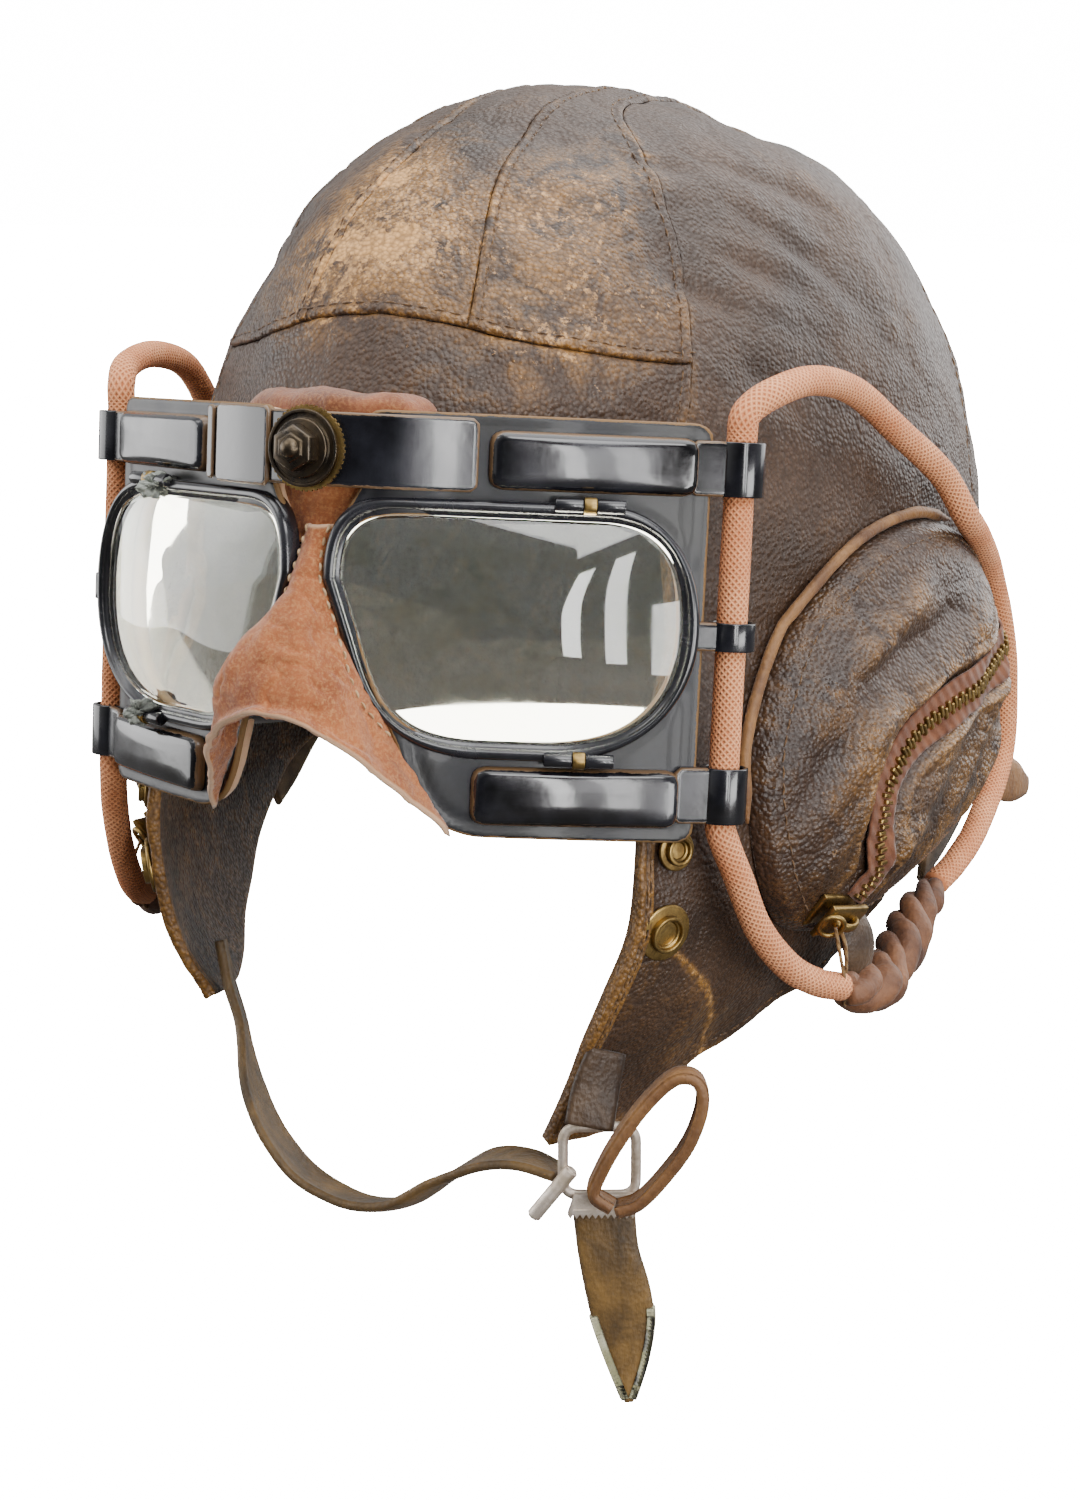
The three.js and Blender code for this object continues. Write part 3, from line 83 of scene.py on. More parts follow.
# y; half width to the inner and to the outer seam
STRIP_SEAMS = np.array([
    (-140, 19, 54.4), (-90, 18, 54.4), (-62, 12, 54), (-48, 10.5, 48.5), (-38, 9.5, 38.5),
    (-20, 9, 22.5), (0, 9, 20), (25, 10, 25), (55, 13, 37), (90, 17, 44), (140, 18, 46)])
BROW_SEAM = np.array([  # x; z
    (0, -40.6), (14, -42), (27, -45.5), (40, -48.7), (54, -51.5), (70, -53)])
REAR_SEAM = np.array([  # z; y
    (-230, 37), (-120, 37), (-88, 38), (-67, 43), (-47, 50), (-25, 57), (-8, 62), (20, 66)])
FACE_EDGE = np.array([  # z; half width on the left, on the right
    (-214, 32.5, 40), (-201, 38.8, 45), (-188, 44.6, 50.5), (-174, 50.5, 54.5),
    (-160, 55.2, 56), (-145, 56.2, 56), (-120, 55, 55), (-89, 54, 54), (-76, 51, 51),
    (-70, 44, 44)])
HEM = np.array([  # y; z on the left, on the right
    (-130, -209, -189), (-88, -209, -191), (-70, -208.5, -195), (-61, -199, -195.5),
    (-50, -196.5, -193.5), (-38, -190, -189), (-24, -184, -184), (-10, -176, -176),
    (2, -170, -170), (14, -165, -165), (35, -161, -161), (120, -163, -163)])
FLAP_PATCH = np.array([  # y, z along the upper edge of the lower flap's patch
    (-97, -157), (-88, -162.5), (-82.8, -167.1), (-73, -176.3), (-67.8, -182.9), (-58.7, -196.8),
    (-54, -206), (-52, -214)])
POCKET_RIM = np.array([  # y, z
    (-66, -128), (-58, -116), (-42, -101), (-25, -91.5), (-5, -89), (11, -92.5), (24, -102),
    (31, -118), (30, -138), (22, -153), (6, -163), (-14, -168.5), (-38, -172), (-55, -168),
    (-65, -156), (-68, -142)], float)
POCKET_CENTRE = np.array((-9.0, -131.0))
# Folds of a pocket: y, z of both ends, half breadth, height
POCKET_FOLDS = (
    (-40, -160, 18, -102, 5.5, 2.4), (-30, -166, 26, -116, 5, 2.2),
    (-2, -150, 30, -130, 4, 1.8), (-14, -100, -57, -126, 3.4, 2.6),
    (-4, -108, -48, -121, 2.4, -1.4), (4, -112, -44, -129, 2.8, 2.0),
    (-36, -124, -61, -148, 3.0, 2.4), (-52, -130, -60, -140, 2.2, -1.4),
    (-41, -132, -56, -158, 2.8, 2.0), (-20, -96, 10, -94, 3.0, 1.2),
    (-30, -100, -6, -97, 2.2, -1.0), (-46, -160, -28, -150, 2.6, 1.4),
    (8, -132, 26, -112, 2.6, 1.4), (-14, -158, 18, -140, 2.6, 1.5))
# y, z, width of the zip's tape, from its rear end to its slider
ZIP_LINE = np.array([
    (26, -118, 13), (4, -123.5, 13), (-14, -127, 13), (-28, -132, 12), (-37, -139, 11),
    (-40, -148, 11), (-40.5, -156, 10), (-44, -161.5, 9)])
PLATE_PLAN = np.array([  # x; y, in the goggles' frame
    (0, -41), (14, -36.5), (27, -28.5), (45, -17.5), (62, -5.8), (69, -0.4), (76, 5)])
PLATE_THICK = 1.5
PLATE_SPAN = ((2.4, 67.2), (-41.6, 42))
PLATE_END = 66.4
PAD_BACK = 4.8
PLATE_OUTLINE = np.array([
    (PLATE_END, 39.5), (64.4, 41), (10, 41), (10, 27), (3, 16), (7, -1), (13, -13), (17, -22),
    (19.5, -31), (23, -37), (29, -40), (64.4, -40.5), (PLATE_END, -39)])
RIM_WRAP = math.radians(27)
RIM_BRIDGE_Y = -44.5
RIM_WIDTH = 3.4
LENS_DOME = 4.5
CLAMP_AXIS = (70.4, 2.2)
# Creases: x, y, z of both ends, half breadth, depth into the cap
CAP_CREASES = (
    (21, 0, -3, 36, 58, -20, 6, 1.9), (-21, 0, -3, -36, 58, -20, 6, 1.9),
    (22, -14, -4, 46, -44, -29, 5, 1.2), (-22, -14, -4, -46, -44, -29, 5, 1.2),
    (9, -60, -19, 12, -30, -5, 5, 0.9), (20, -66, -26, 26, -56, -21, 5, 1.3),
    (34, -46, -22, 44, -33, -24, 2.6, 1.1), (30, -36, -11, 40, -27, -15, 2.8, 1.3),
    (47, -52, -34, 58, -40, -43, 2.6, 1.2), (54, -36, -30, 64, -18, -42, 3.0, 1.3),
    (50, -26, -21, 66, -8, -34, 2.6, 1.0), (60, -46, -52, 68, -34, -66, 3.0, 1.2),
    (57, -22, -25, 73, 2, -48, 2.4, 0.9), (44, -18, -14, 60, 6, -24, 2.6, 1.0),
    (62, -50, -62, 66, -44, -80, 2.4, 1.1), (72, -14, -56, 80, 0, -78, 2.6, 0.9),
    (-30, -60, -24, -44, -46, -26, 2.6, 1.0), (-50, -40, -30, -64, -20, -42, 3.0, 1.2),
    (-58, -50, -58, -66, -36, -72, 2.6, 1.1), (-66, -10, -40, -76, 6, -66, 3.0, 1.1),
    (30, 60, -22, 50, 54, -40, 3.0, 1.1), (-26, 64, -24, -46, 60, -42, 3.0, 1.1),
    (10, 84, -50, 34, 80, -62, 3.2, 1.2), (-12, 90, -66, -36, 82, -78, 3.2, 1.2),
    (60, 52, -60, 50, 76, -84, 3.0, 1.1), (-60, 52, -62, -50, 74, -88, 3.0, 1.1))
# Rubbed leather: x, y, z, spread, strength
WORN_SPOTS = (
    (-9.2, -63.2, -16.6, 9, 0.75), (-9.1, -79.2, -29.2, 13, 0.8), (2, -72, -24, 14, 0.45),
    (-9.8, -71.1, -21.7, 12, 0.5), (8.3, -80.5, -31.1, 12, 0.5), (-13.9, -85.5, -38.8, 12, 0.4),
    (27.1, -64.5, -25.4, 15, 0.45), (26.5, -82.6, -43.7, 15, 0.4), (30.1, -50.9, -20, 12, 0.4),
    (18, -60, -16, 14, 0.4), (-9.6, -53.1, -10.2, 12, 0.4), (44, -58, -39, 10, 0.35),
    (36, -72, -42, 12, 0.35), (30, -35, -12, 9, 0.35), (0, 100, -70, 26, 0.3),
    (-30, -70, -34, 14, 0.3), (60, -62, -190, 12, 0.3), (-60, 30, -50, 20, 0.25))
BARE_SPOTS = (
    (-9.8, -63.6, -16.8, 4.6, 1.1), (-11, -79.4, -29.4, 5.5, 1.0), (-2, -80, -29.5, 5.5, 0.95),
    (-6, -56, -12, 4, 0.6), (-17, -80, -32, 4.5, 0.8), (2, -77, -27.5, 5, 0.8),
    (-4, -66, -19, 8, 0.4), (48, -66, -49, 4, 0.5))
CORD_LOOP = (
    (70.9, -75.2, -58.8), (74, -68, -55.5), (77, -53, -54.5), (80, -35, -58.5),
    (84.5, -19, -68), (90.5, -4, -79), (93.6, 3, -88), (93.8, 17, -96.3), (93, 31, -106.3),
    (93.5, 42.5, -123), (93, 49.5, -140), (93.2, 46, -153.5), (93.6, 24, -164.8),
    (92.2, 11, -170), (90, 3, -173))
CORD_UNDER = (
    (73, -82, -150), (75.5, -76.5, -162), (79, -68, -172), (82.5, -60, -177.5),
    (85.5, -52.2, -180.6))
CORD_HEIGHTS = (38.5, 30, 15, 0, -15, -34, -38)
# x, y, z, radius
WRAP_ROWS = np.array([
    (85.8, -51.4, -181, 3.8), (87.5, -45, -183, 5.6), (88, -36, -184, 6.8),
    (88.3, -28, -182.5, 5.8), (88.5, -19, -180.5, 6.8), (88.5, -10, -177, 5.6),
    (89.2, -3, -174.8, 4.2), (89.4, 2, -173.6, 3.3)])
WEB_THICK = 1.6
# direction in degrees, z, width
STRAP_ROWS = (
    (93, -171, 8), (98, -167, 9), (106, -158, 11), (114, -150, 13), (122, -145.5, 14),
    (131, -142.5, 14), (141, -141, 14), (152, -140, 14), (166, -140, 14), (180, -140, 14))
# A band's rows: x, y, z, the direction of its width, width
CHIN_ROWS = np.array([
    (-49.3, -78.5, -180, 0.5, -0.86, 0, 12), (-46.8, -80, -188, 0.5, -0.86, 0, 12),
    (-42.3, -82.6, -197, 0.5, -0.86, 0, 12), (-36, -89, -208, 0.3, -0.95, 0.15, 14),
    (-28.9, -93, -217, 0.2, -0.97, 0.2, 14), (-20.6, -93, -225.5, 0.1, -0.98, 0.25, 14),
    (-9, -93, -229.5, 0, -0.98, 0.3, 14), (2, -93, -227.5, -0.1, -0.97, 0.25, 14),
    (12, -93, -220.5, -0.1, -0.99, 0.15, 14), (22, -93, -214.5, 0, -1, 0.05, 13),
    (31, -93, -213, 0, -1, 0.15, 13), (39.3, -93.2, -214.9, 0.1, -0.95, 0.3, 13)])
TAIL_ROWS = np.array([
    (49, -93.5, -221, 0.91, 0.41, 0, 12.8), (50.4, -94.5, -229, 0.91, 0.41, 0, 12.6),
    (52.4, -94, -238, 0.91, 0.41, 0, 13.4), (53.4, -93.5, -244.5, 0.91, 0.41, 0, 12.6),
    (54.2, -93.5, -253, 0.91, 0.41, 0, 8.6), (54.8, -94, -262, 0.91, 0.41, 0, 2.4)])
KEEPER_ROWS = np.array([
    (*at, -0.41, 0.91, 0, 6) for at in (
        (53.4, -99.6, -216.6), (49.6, -100.4, -214), (50.6, -100.2, -210), (54.6, -99.8, -202),
        (60, -97.6, -193.5), (65.5, -96, -188), (69.6, -95, -188.4), (70.8, -95, -193),
        (68.6, -96, -201), (64, -97, -208.5), (58.6, -98.2, -215), (54.4, -99.2, -217))])
BUCKLE_TAB_ROWS = np.array([
    (49.5, -93.2, -186, 0.64, 0.77, 0, 9), (48.1, -95.6, -193.5, 0.8, 0.6, 0, 10),
    (47.6, -98.2, -201, 0.91, 0.41, 0, 10)])
REAR_TAB_ROWS = np.array([
    (84.6, 55, -160.5, 0, 0.3, 1, 12), (81.6, 63, -161, 0, 0.3, 1, 13),
    (83.5, 74, -164.5, 0, 0.3, 1, 13), (87, 86, -169.5, 0, 0.3, 1, 11),
    (88, 94, -172.5, 0, 0.3, 1, 6)])
BUCKLE_PLACE = (48.4, -94.5, -209.5)
BUCKLE_TURN = math.radians(24)
WIRE_RADIUS = 1.1
# y, z, radius of the base and of the cap
STUDS = {"upper": (-86, -144.5, 4.2, 3.0), "lower": (-88, -161, 6.0, 3.9)}
ZIP_SLIDER = ((82.4, -49.4, -164.6), (0.72, -0.35, -0.6), (-0.3, -0.9, 0.1))
# Nose piece, a row for each step down: x, y, z of the sewn edge; y, z of the crest
NOSE_ROWS = np.array([
    (0, 3.2, -36.5, 19, -38.5, 19), (1, 3.6, -38, 11, -42.5, 11.5), (2, 7, -37.5, -1, -47, 3),
    (3, 12.5, -35.8, -12, -50.5, -4.5), (4, 18.6, -33.2, -24, -52.5, -11.5),
    (5, 27.2, -28.4, -39.5, -53.5, -17.5)])


# Shapes in numbers

def curve_at(table, column, values):
    """The smooth curve through a table's rows, at values of its first column."""
    keys, found = table[:, 0], table[:, column]
    at = np.clip(values, keys[0], keys[-1])
    i = np.clip(np.searchsorted(keys, at, side="right") - 1, 0, len(keys) - 2)
    slope = np.empty(len(keys))
    slope[1:-1] = (found[2:] - found[:-2]) / (keys[2:] - keys[:-2])
    slope[0] = (found[1] - found[0]) / (keys[1] - keys[0])
    slope[-1] = (found[-1] - found[-2]) / (keys[-1] - keys[-2])
    span = keys[i + 1] - keys[i]
    t = (at - keys[i]) / span
    return ((2 * t**3 - 3 * t**2 + 1) * found[i] + (t**3 - 2 * t**2 + t) * span * slope[i]
            + (3 * t**2 - 2 * t**3) * found[i + 1] + (t**3 - t**2) * span * slope[i + 1])


def signed_power(value, power):
    return np.sign(value) * np.abs(value) ** power


def unit(vectors):
    return vectors / np.maximum(np.linalg.norm(vectors, axis=-1, keepdims=True), 1e-9)


def bell(value, width):
    return np.exp(-(value / width) ** 2)


def smooth_step(value, start, end):
    t = np.clip((value - start) / (end - start), 0, 1)
    return t * t * (3 - 2 * t)


def cap_section(z):
    low = np.minimum(z, EAR_LEVEL)
    up = np.clip((z - EAR_LEVEL) / DOME_RISE, 0, 1)
    scale = (1 - up**DOME_POWER) ** (1 / DOME_POWER)
    return [curve_at(CAP_SECTIONS, column, low) for column in range(1, 6)] + [scale]


def wall_point(direction, z, scale=None):
    """Outside of the cap before its dents, in a direction from the front and at a height."""
    front, back, half, taper, power, own = cap_section(z)
    scale = own if scale is None else scale
    forward = signed_power(np.cos(direction), 2 / power)
    sideways = signed_power(np.sin(direction), 2 / power)
    reach = np.where(forward > 0, front, back)
    x = half * scale * sideways * (1 - taper * forward)
    return np.stack([x, -reach * scale * forward, z + 0 * x], -1)


def dent_depth(points):
    depth = 0
    for direction, z, spread, up, deep in CAP_DENTS:
        centre = wall_point(math.radians(direction), z)
        flat = np.hypot(points[..., 0] - centre[0], points[..., 1] - centre[1]) / spread
        depth = depth + deep * np.exp(-flat**2 - ((points[..., 2] - z) / up) ** 2)
    return depth


def side_half_width(y, z):
    """Half width of the cap's side at a place seen from the side."""
    front, back, half, taper, power, scale = cap_section(z)
    forward = np.clip(-y / (np.where(y < 0, front, back) * scale), -1, 1)
    cosine = signed_power(forward, power / 2)
    sideways = np.sqrt(np.maximum(0, 1 - cosine**2)) ** (2 / power)
    x = half * scale * sideways * (1 - taper * forward)
    return x - dent_depth(np.stack([x, y + 0 * x, z + 0 * x], -1))


def side_normal(y, z):
    slope_y = (side_half_width(y + 1, z) - side_half_width(y - 1, z)) / 2
    slope_z = (side_half_width(y, z + 1) - side_half_width(y, z - 1)) / 2
    return unit(np.stack([1 + 0 * slope_y, -slope_y, -slope_z], -1))


def lumps(points, size, octaves=3, shift=0.0, stretch=(1, 1, 1)):
    """Fractal noise about 0 at each point, whose largest lumps are size apart."""
    flat = (points.reshape(-1, 3) / size * stretch + shift).tolist()
    found = np.array([noise.fractal(p, 1.0, 2.0, octaves) for p in flat])
    return found.reshape(points.shape[:-1])


def creases_of(points, size, shift=0.0, stretch=(1, 1, 1)):
    """Narrow valleys between broad swellings, 0 on the swellings and 1 in a valley."""
    return np.clip(1 - np.abs(lumps(points, size, 2, shift, stretch)) * 5, 0, 1) ** 2


def near_segments(points, rows, count):
    """Sum of rounded ridges along segments: count numbers for each end, breadth, height."""
    height = 0
    for row in rows:
        start, end = np.array(row[:count], float), np.array(row[count:2 * count], float)
        run = end - start
        t = np.clip((points - start) @ run / (run @ run), 0, 1)
        away = np.linalg.norm(points - start - t[..., None] * run, axis=-1)
        fade = 1 - (2 * np.abs(t - 0.5)) ** 4 * 0.5
        height = height + row[-1] * fade * bell(away, row[-2])
    return height


def near_spots(points, spots):
    found = 0
    for x, y, z, spread, strength in spots:
        away = np.linalg.norm(points - (x, y, z), axis=-1)
        found = found + strength * bell(away, spread)
    return found


def run_of(path, power=1):
    """How far along a path each of its points is, with each step raised to a power."""
    steps = np.linalg.norm(np.diff(path[:, :3], axis=0), axis=1) ** power
    return np.concatenate([[0], np.cumsum(steps)])


def taken_at(rows, run, at):
    """Rows between a path's rows, at distances along it."""
    return np.column_stack([np.interp(at, run, rows[:, c]) for c in range(rows.shape[1])])


def square_to(vectors, ahead):
    """Unit vectors turned square to others."""
    return unit(vectors - ahead * np.sum(vectors * ahead, -1, keepdims=True))


def smooth_path(points, step, closed=False):
    """Points a step apart on the smooth curve through a path's points."""
    p = np.asarray(points, float)
    if closed:
        p = np.concatenate([p[-2:], p, p[:3]])
    run = run_of(p, 0.5)
    table = np.column_stack([run, p])
    start, end = (run[2], run[-3]) if closed else (run[0], run[-1])
    fine = np.linspace(start, end, 40 * len(p))
    dense = np.column_stack([curve_at(table, c + 1, fine) for c in range(p.shape[1])])
    length = run_of(dense)
    count = max(2, round(length[-1] / step))
    even = np.linspace(0, length[-1], count + 1)[:count if closed else count + 1]
    return taken_at(dense, length, even)


def outline_distance(u, v, outline):
    """Distance of flat points from a closed outline, negative inside it."""
    best, inside = np.full(u.shape, 1e9), np.zeros(u.shape, bool)
    for (pu, pv), (qu, qv) in zip(outline, np.roll(outline, -1, 0)):
        eu, ev = qu - pu, qv - pv
        t = np.clip(((u - pu) * eu + (v - pv) * ev) / (eu * eu + ev * ev + 1e-12), 0, 1)
        best = np.minimum(best, np.hypot(u - pu - t * eu, v - pv - t * ev))
        if qv != pv:
            inside ^= ((pv > v) != (qv > v)) & (u < eu * (v - pv) / ev + pu)
    return np.where(inside, -best, best)


def rounded_outline(corners, radius, steps=6):
    """A closed outline with its corners rounded."""
    made = []
    corners = np.asarray(corners, float)
    for before, here, after in zip(np.roll(corners, 1, 0), corners, np.roll(corners, -1, 0)):
        back, on = before - here, after - here
        reach = min(radius, np.linalg.norm(back) / 2, np.linalg.norm(on) / 2)
        a, b = here + reach * unit(back), here + reach * unit(on)
        for t in np.linspace(0, 1, steps):
            made.append((1 - t) ** 2 * a + 2 * t * (1 - t) * here + t * t * b)
    return np.array(made)


def bezier(p, steps):
    t = np.linspace(0, 1, steps, endpoint=False)[:, None]
    p = [np.array(q, float) for q in p]
    if len(p) == 2:
        return p[0] + (p[1] - p[0]) * t
    return ((1 - t) ** 3 * p[0] + 3 * t * (1 - t) ** 2 * p[1] + 3 * t * t * (1 - t) * p[2]
            + t**3 * p[3])


def rim_outline(inset):
    """Outline of a lens rim in its own plane, u outwards from the bridge."""
    inner, outer, top, bottom = 4.6 + inset, 76.7 - inset, 24.8 - inset, -24.6 + inset
    end = (9.4 + inset, -5)
    return np.concatenate([
        bezier([(inner, 9), (inner, 19), (inner + 3, top), (inner + 13, top)], 26),
        bezier([(inner + 13, top), (57, top)], 26),
        bezier([(57, top), (70, top), (outer, 14), (outer, 1.5)], 26),
        bezier([(outer, 1.5), (outer, -13), (66, bottom), (48, bottom)], 28),
        bezier([(48, bottom), (36, bottom)], 8),
        bezier([(36, bottom), (20, bottom), (13 + inset, -16), end], 30),
        bezier([end, (inner, 9)], 12)])


def rim_place(u, v, depth):
    """Points of the rim plane in the goggles' frame, depth forwards."""
    x = u * math.cos(RIM_WRAP) + depth * math.sin(RIM_WRAP)
    y = RIM_BRIDGE_Y + u * math.sin(RIM_WRAP) - depth * math.cos(RIM_WRAP)
    return np.stack([x, y, v + 0 * x], -1)


def rim_flat(points):
    """u and v in the rim plane of points in the goggles' frame."""
    u = points[..., 0] * math.cos(RIM_WRAP) + (points[..., 1] - RIM_BRIDGE_Y) * math.sin(RIM_WRAP)
    return u, points[..., 2]


def plate_plan(x):
    return curve_at(PLATE_PLAN, 1, np.abs(x))


def to_goggles(points):
    """Points of the goggles' frame in the cap's."""
    c, s = math.cos(GOGGLE_PITCH), math.sin(GOGGLE_PITCH)
    x, y, z = points[..., 0], points[..., 1], points[..., 2]
    return np.stack([x, y * c - z * s, y * s + z * c], -1) + GOGGLE_PLACE


# Meshes

def grid_quads(rows, columns, wrap_rows=False, wrap_columns=False):
    """Quads over rows of points, whose last row or column may close on the first."""
    i, k = np.meshgrid(np.arange(rows if wrap_rows else rows - 1),
                       np.arange(columns if wrap_columns else columns - 1), indexing="ij")
    i, k = i.ravel(), k.ravel()
    j, m = (i + 1) % rows, (k + 1) % columns
    return np.stack([i * columns + k, j * columns + k, j * columns + m, i * columns + m], 1)


def trimmed(sheet, quads, cuts):
    """Cuts a sheet of quads along level lines of its columns.

    A cut is (column, level, drops): the part above the level is dropped, or only parted.
    """
    whole, dropped = np.ones(len(quads), bool), np.zeros(len(quads), bool)
    for column, level, drops in cuts:
        above = sheet[quads, column] > level
        whole &= above.all(1) | ~above.any(1)
        if drops:
            dropped |= above.all(1)
    faces = quads[whole & ~dropped].tolist()
    loose = quads[~whole & ~dropped].tolist()
    rows, middles = list(sheet), {}
    for number, (column, level, drops) in enumerate(cuts):
        kept = []
        for face in loose:
            values = [rows[v][column] - level for v in face]
            below, above = [], []
            for k, v in enumerate(face):
                w, a, b = face[(k + 1) % len(face)], values[k], values[(k + 1) % len(face)]
                (below if a <= 0 else above).append(v)
                if (a <= 0) != (b <= 0):
                    key = (min(v, w), max(v, w), number)
                    if key not in middles:
                        t = a / (a - b)
                        middles[key] = len(rows)
                        rows.append(rows[v] * (1 - t) + rows[w] * t)
                    below.append(middles[key])
                    above.append(middles[key])
            if len(below) > 2:
                kept.append(below)
            if len(above) > 2 and not drops:
                kept.append(above)
        loose = kept
    faces += loose
    used = np.unique(np.concatenate([np.array(f) for f in faces]))
    place = {v: n for n, v in enumerate(used.tolist())}
    return np.array([rows[v] for v in used.tolist()]), [[place[v] for v in f] for f in faces]


def largest_part(faces, count):
    """The faces of the largest connected part of a sheet."""
    head = list(range(count))

    def top(v):
        while head[v] != v:
            head[v] = head[head[v]]
            v = head[v]
        return v

    for face in faces:
        first = top(face[0])
        for v in face[1:]:
            head[top(v)] = first
    groups = {}
    for face in faces:
        groups.setdefault(top(face[0]), []).append(face)
    return max(groups.values(), key=len)


def walled(faces, count):
    """Faces of a closed wall whose back has the front's faces, count rows further on."""
    edges = {(a, b) for f in faces for a, b in zip(f, f[1:] + f[:1])}
    back = [[v + count for v in reversed(f)] for f in faces]
    sides = [[b, a, a + count, b + count] for a, b in edges if (b, a) not in edges]
    return faces + back + sides


def domed(front, back, middles):
    """Points and faces of a closed shell: rings of points round a middle, front and back."""
    rings, around = front.shape[:2]
    count = rings * around
    faces = [f[::-1] for f in grid_quads(rings, around, wrap_columns=True).tolist()]
    faces += [[2 * count, (k + 1) % around, k] for k in range(around)]
    shell = faces + [[v + count if v < count else v + 1 for v in reversed(f)] for f in faces]
    last = count - around
    shell += [[last + k, last + (k + 1) % around, count + last + (k + 1) % around,
               count + last + k] for k in range(around)]
    return np.concatenate([front.reshape(-1, 3), back.reshape(-1, 3), middles]), shell


def mesh_piece(name, points, faces, values=None, corners=None):
    """An object from points in millimetres, closed and facing outwards."""
    mesh = bpy.data.meshes.new(name)
    mesh.from_pydata((np.asarray(points, float) * MM).tolist(), [], faces)
    for key, numbers in (values or {}).items():
        layer = mesh.attributes.new(key, "FLOAT", "POINT")
        layer.data.foreach_set("value", np.asarray(numbers, np.float32))
    if corners is not None:
        layer = mesh.uv_layers.new(name="along")
        layer.data.foreach_set("uv", np.asarray(corners, np.float32).ravel())
    shape = bmesh.new()
    shape.from_mesh(mesh)
    bmesh.ops.remove_doubles(shape, verts=shape.verts, dist=2e-6)
    if shape.calc_volume(signed=True) < 0:
        bmesh.ops.reverse_faces(shape, faces=shape.faces)
    shape.to_mesh(mesh)
    shape.free()
    mesh.shade_smooth()
    piece = bpy.data.objects.new(name, mesh)
    bpy.context.scene.collection.objects.link(piece)
    return piece


def sharpened(piece, degrees=42):
    """Keeps the edges of a hard piece crisp where its faces turn by more than an angle."""
    shape = bmesh.new()
    shape.from_mesh(piece.data)
    for edge in shape.edges:
        edge.smooth = len(edge.link_faces) != 2 or edge.calc_face_angle() < math.radians(degrees)
    shape.to_mesh(piece.data)
    shape.free()
    return piece


def dress(piece, node, material):
    """Gives a piece its finish, its body and the solid that it stands for."""
    piece.data.materials.clear()
    piece.data.materials.append(material)
    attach(piece, "root")
    if node:
        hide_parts(node)
    return piece


def sided(points, side):
    return points * (side, 1, 1)


def circle(sides):
    turn = np.linspace(0, 2 * math.pi, sides, endpoint=False)
    return np.stack([np.cos(turn), np.sin(turn)], 1)


def swept(name, path, outlines, up=None, values=None):
    """A solid along a path, with a flat outline for each of its points or one for all."""
    count = len(path)
    ahead = unit(np.gradient(path, axis=0))
    if up is None:
        up = np.empty_like(path)
        carried = np.array((0.0, 0.0, 1.0)) if abs(ahead[0][2]) < 0.9 else np.array((1.0, 0, 0))
        for i in range(count):
            carried = unit(carried - ahead[i] * (carried @ ahead[i]))
            up[i] = carried
    else:
        up = square_to(up, ahead)
    side = np.cross(ahead, up)
    sides = outlines.shape[-2]
    points = path[:, None] + side[:, None] * outlines[..., :1] + up[:, None] * outlines[..., 1:]
    faces = grid_quads(count, sides, wrap_columns=True).tolist()
    i, k = np.meshgrid(np.arange(count - 1), np.arange(sides), indexing="ij")
    uv = [np.stack([(i + a) / count, (k + b) / sides], -1).reshape(-1, 2)
          for a, b in ((0, 0), (1, 0), (1, 1), (0, 1))]
    uv = np.stack(uv, 1).reshape(-1, 2)
    flat = np.concatenate([points.reshape(-1, 3), [points[0].mean(0)], [points[-1].mean(0)]])
    low, last = count * sides, (count - 1) * sides
    for k in range(sides):
        m = (k + 1) % sides
        faces += [[low, k, m], [low + 1, last + m, last + k]]
    uv = np.concatenate([uv, np.zeros((6 * sides, 2))])
    values = {key: np.concatenate([v.ravel(), [0, 0]]) for key, v in (values or {}).items()}
    return mesh_piece(name, flat, faces, values, uv)


def band_profile(half_width, half_thick, cup):
    """Flat outline of a strap: rounded edges, and hollow by cup across its width."""
    across = np.linspace(-1, 1, 9)
    top = [(half_width * a, half_thick + cup * (a * a - 0.4)) for a in across[1:-1]]
    bottom = [(half_width * a, -half_thick + cup * (a * a - 0.4)) for a in across[-2:0:-1]]
    turn = np.linspace(math.pi / 2, -math.pi / 2, 5)
    lift = cup * 0.6
    right = [(half_width - half_thick * (1 - math.cos(t)), half_thick * math.sin(t) + lift) for t in turn]
    left = [(-x, y) for x, y in reversed(right)]
    return np.array(top + right + bottom + left)


def strap(name, rows, thick, step=1.2, cup=0.0, wobble=0.0):
    """A flat strap through rows of place, direction of its width and width."""
    fine = smooth_path(rows, step)
    path, width = fine[:, :3], fine[:, 6]
    ahead = unit(np.gradient(path, axis=0))
    up = np.cross(square_to(fine[:, 3:6], ahead), ahead)
    if wobble:
        path = path + up * lumps(path, 14, 2)[:, None] * wobble
    outlines = np.array([band_profile(w / 2, thick / 2, cup) for w in width])
    edge = width[:, None] / 2 - np.abs(outlines[..., 0])
    return swept(name, path, outlines, up, {"edge": edge})


def copies(name, template, faces, frames):
    """One mesh of a small shape repeated: template is in its frames' axes, in millimetres."""
    template = np.asarray(template, float)
    points = np.concatenate([at + template @ np.array(axes) for at, axes in frames])
    made = [[v + n * len(template) for v in f] for n in range(len(frames)) for f in faces]
    return mesh_piece(name, points, made)


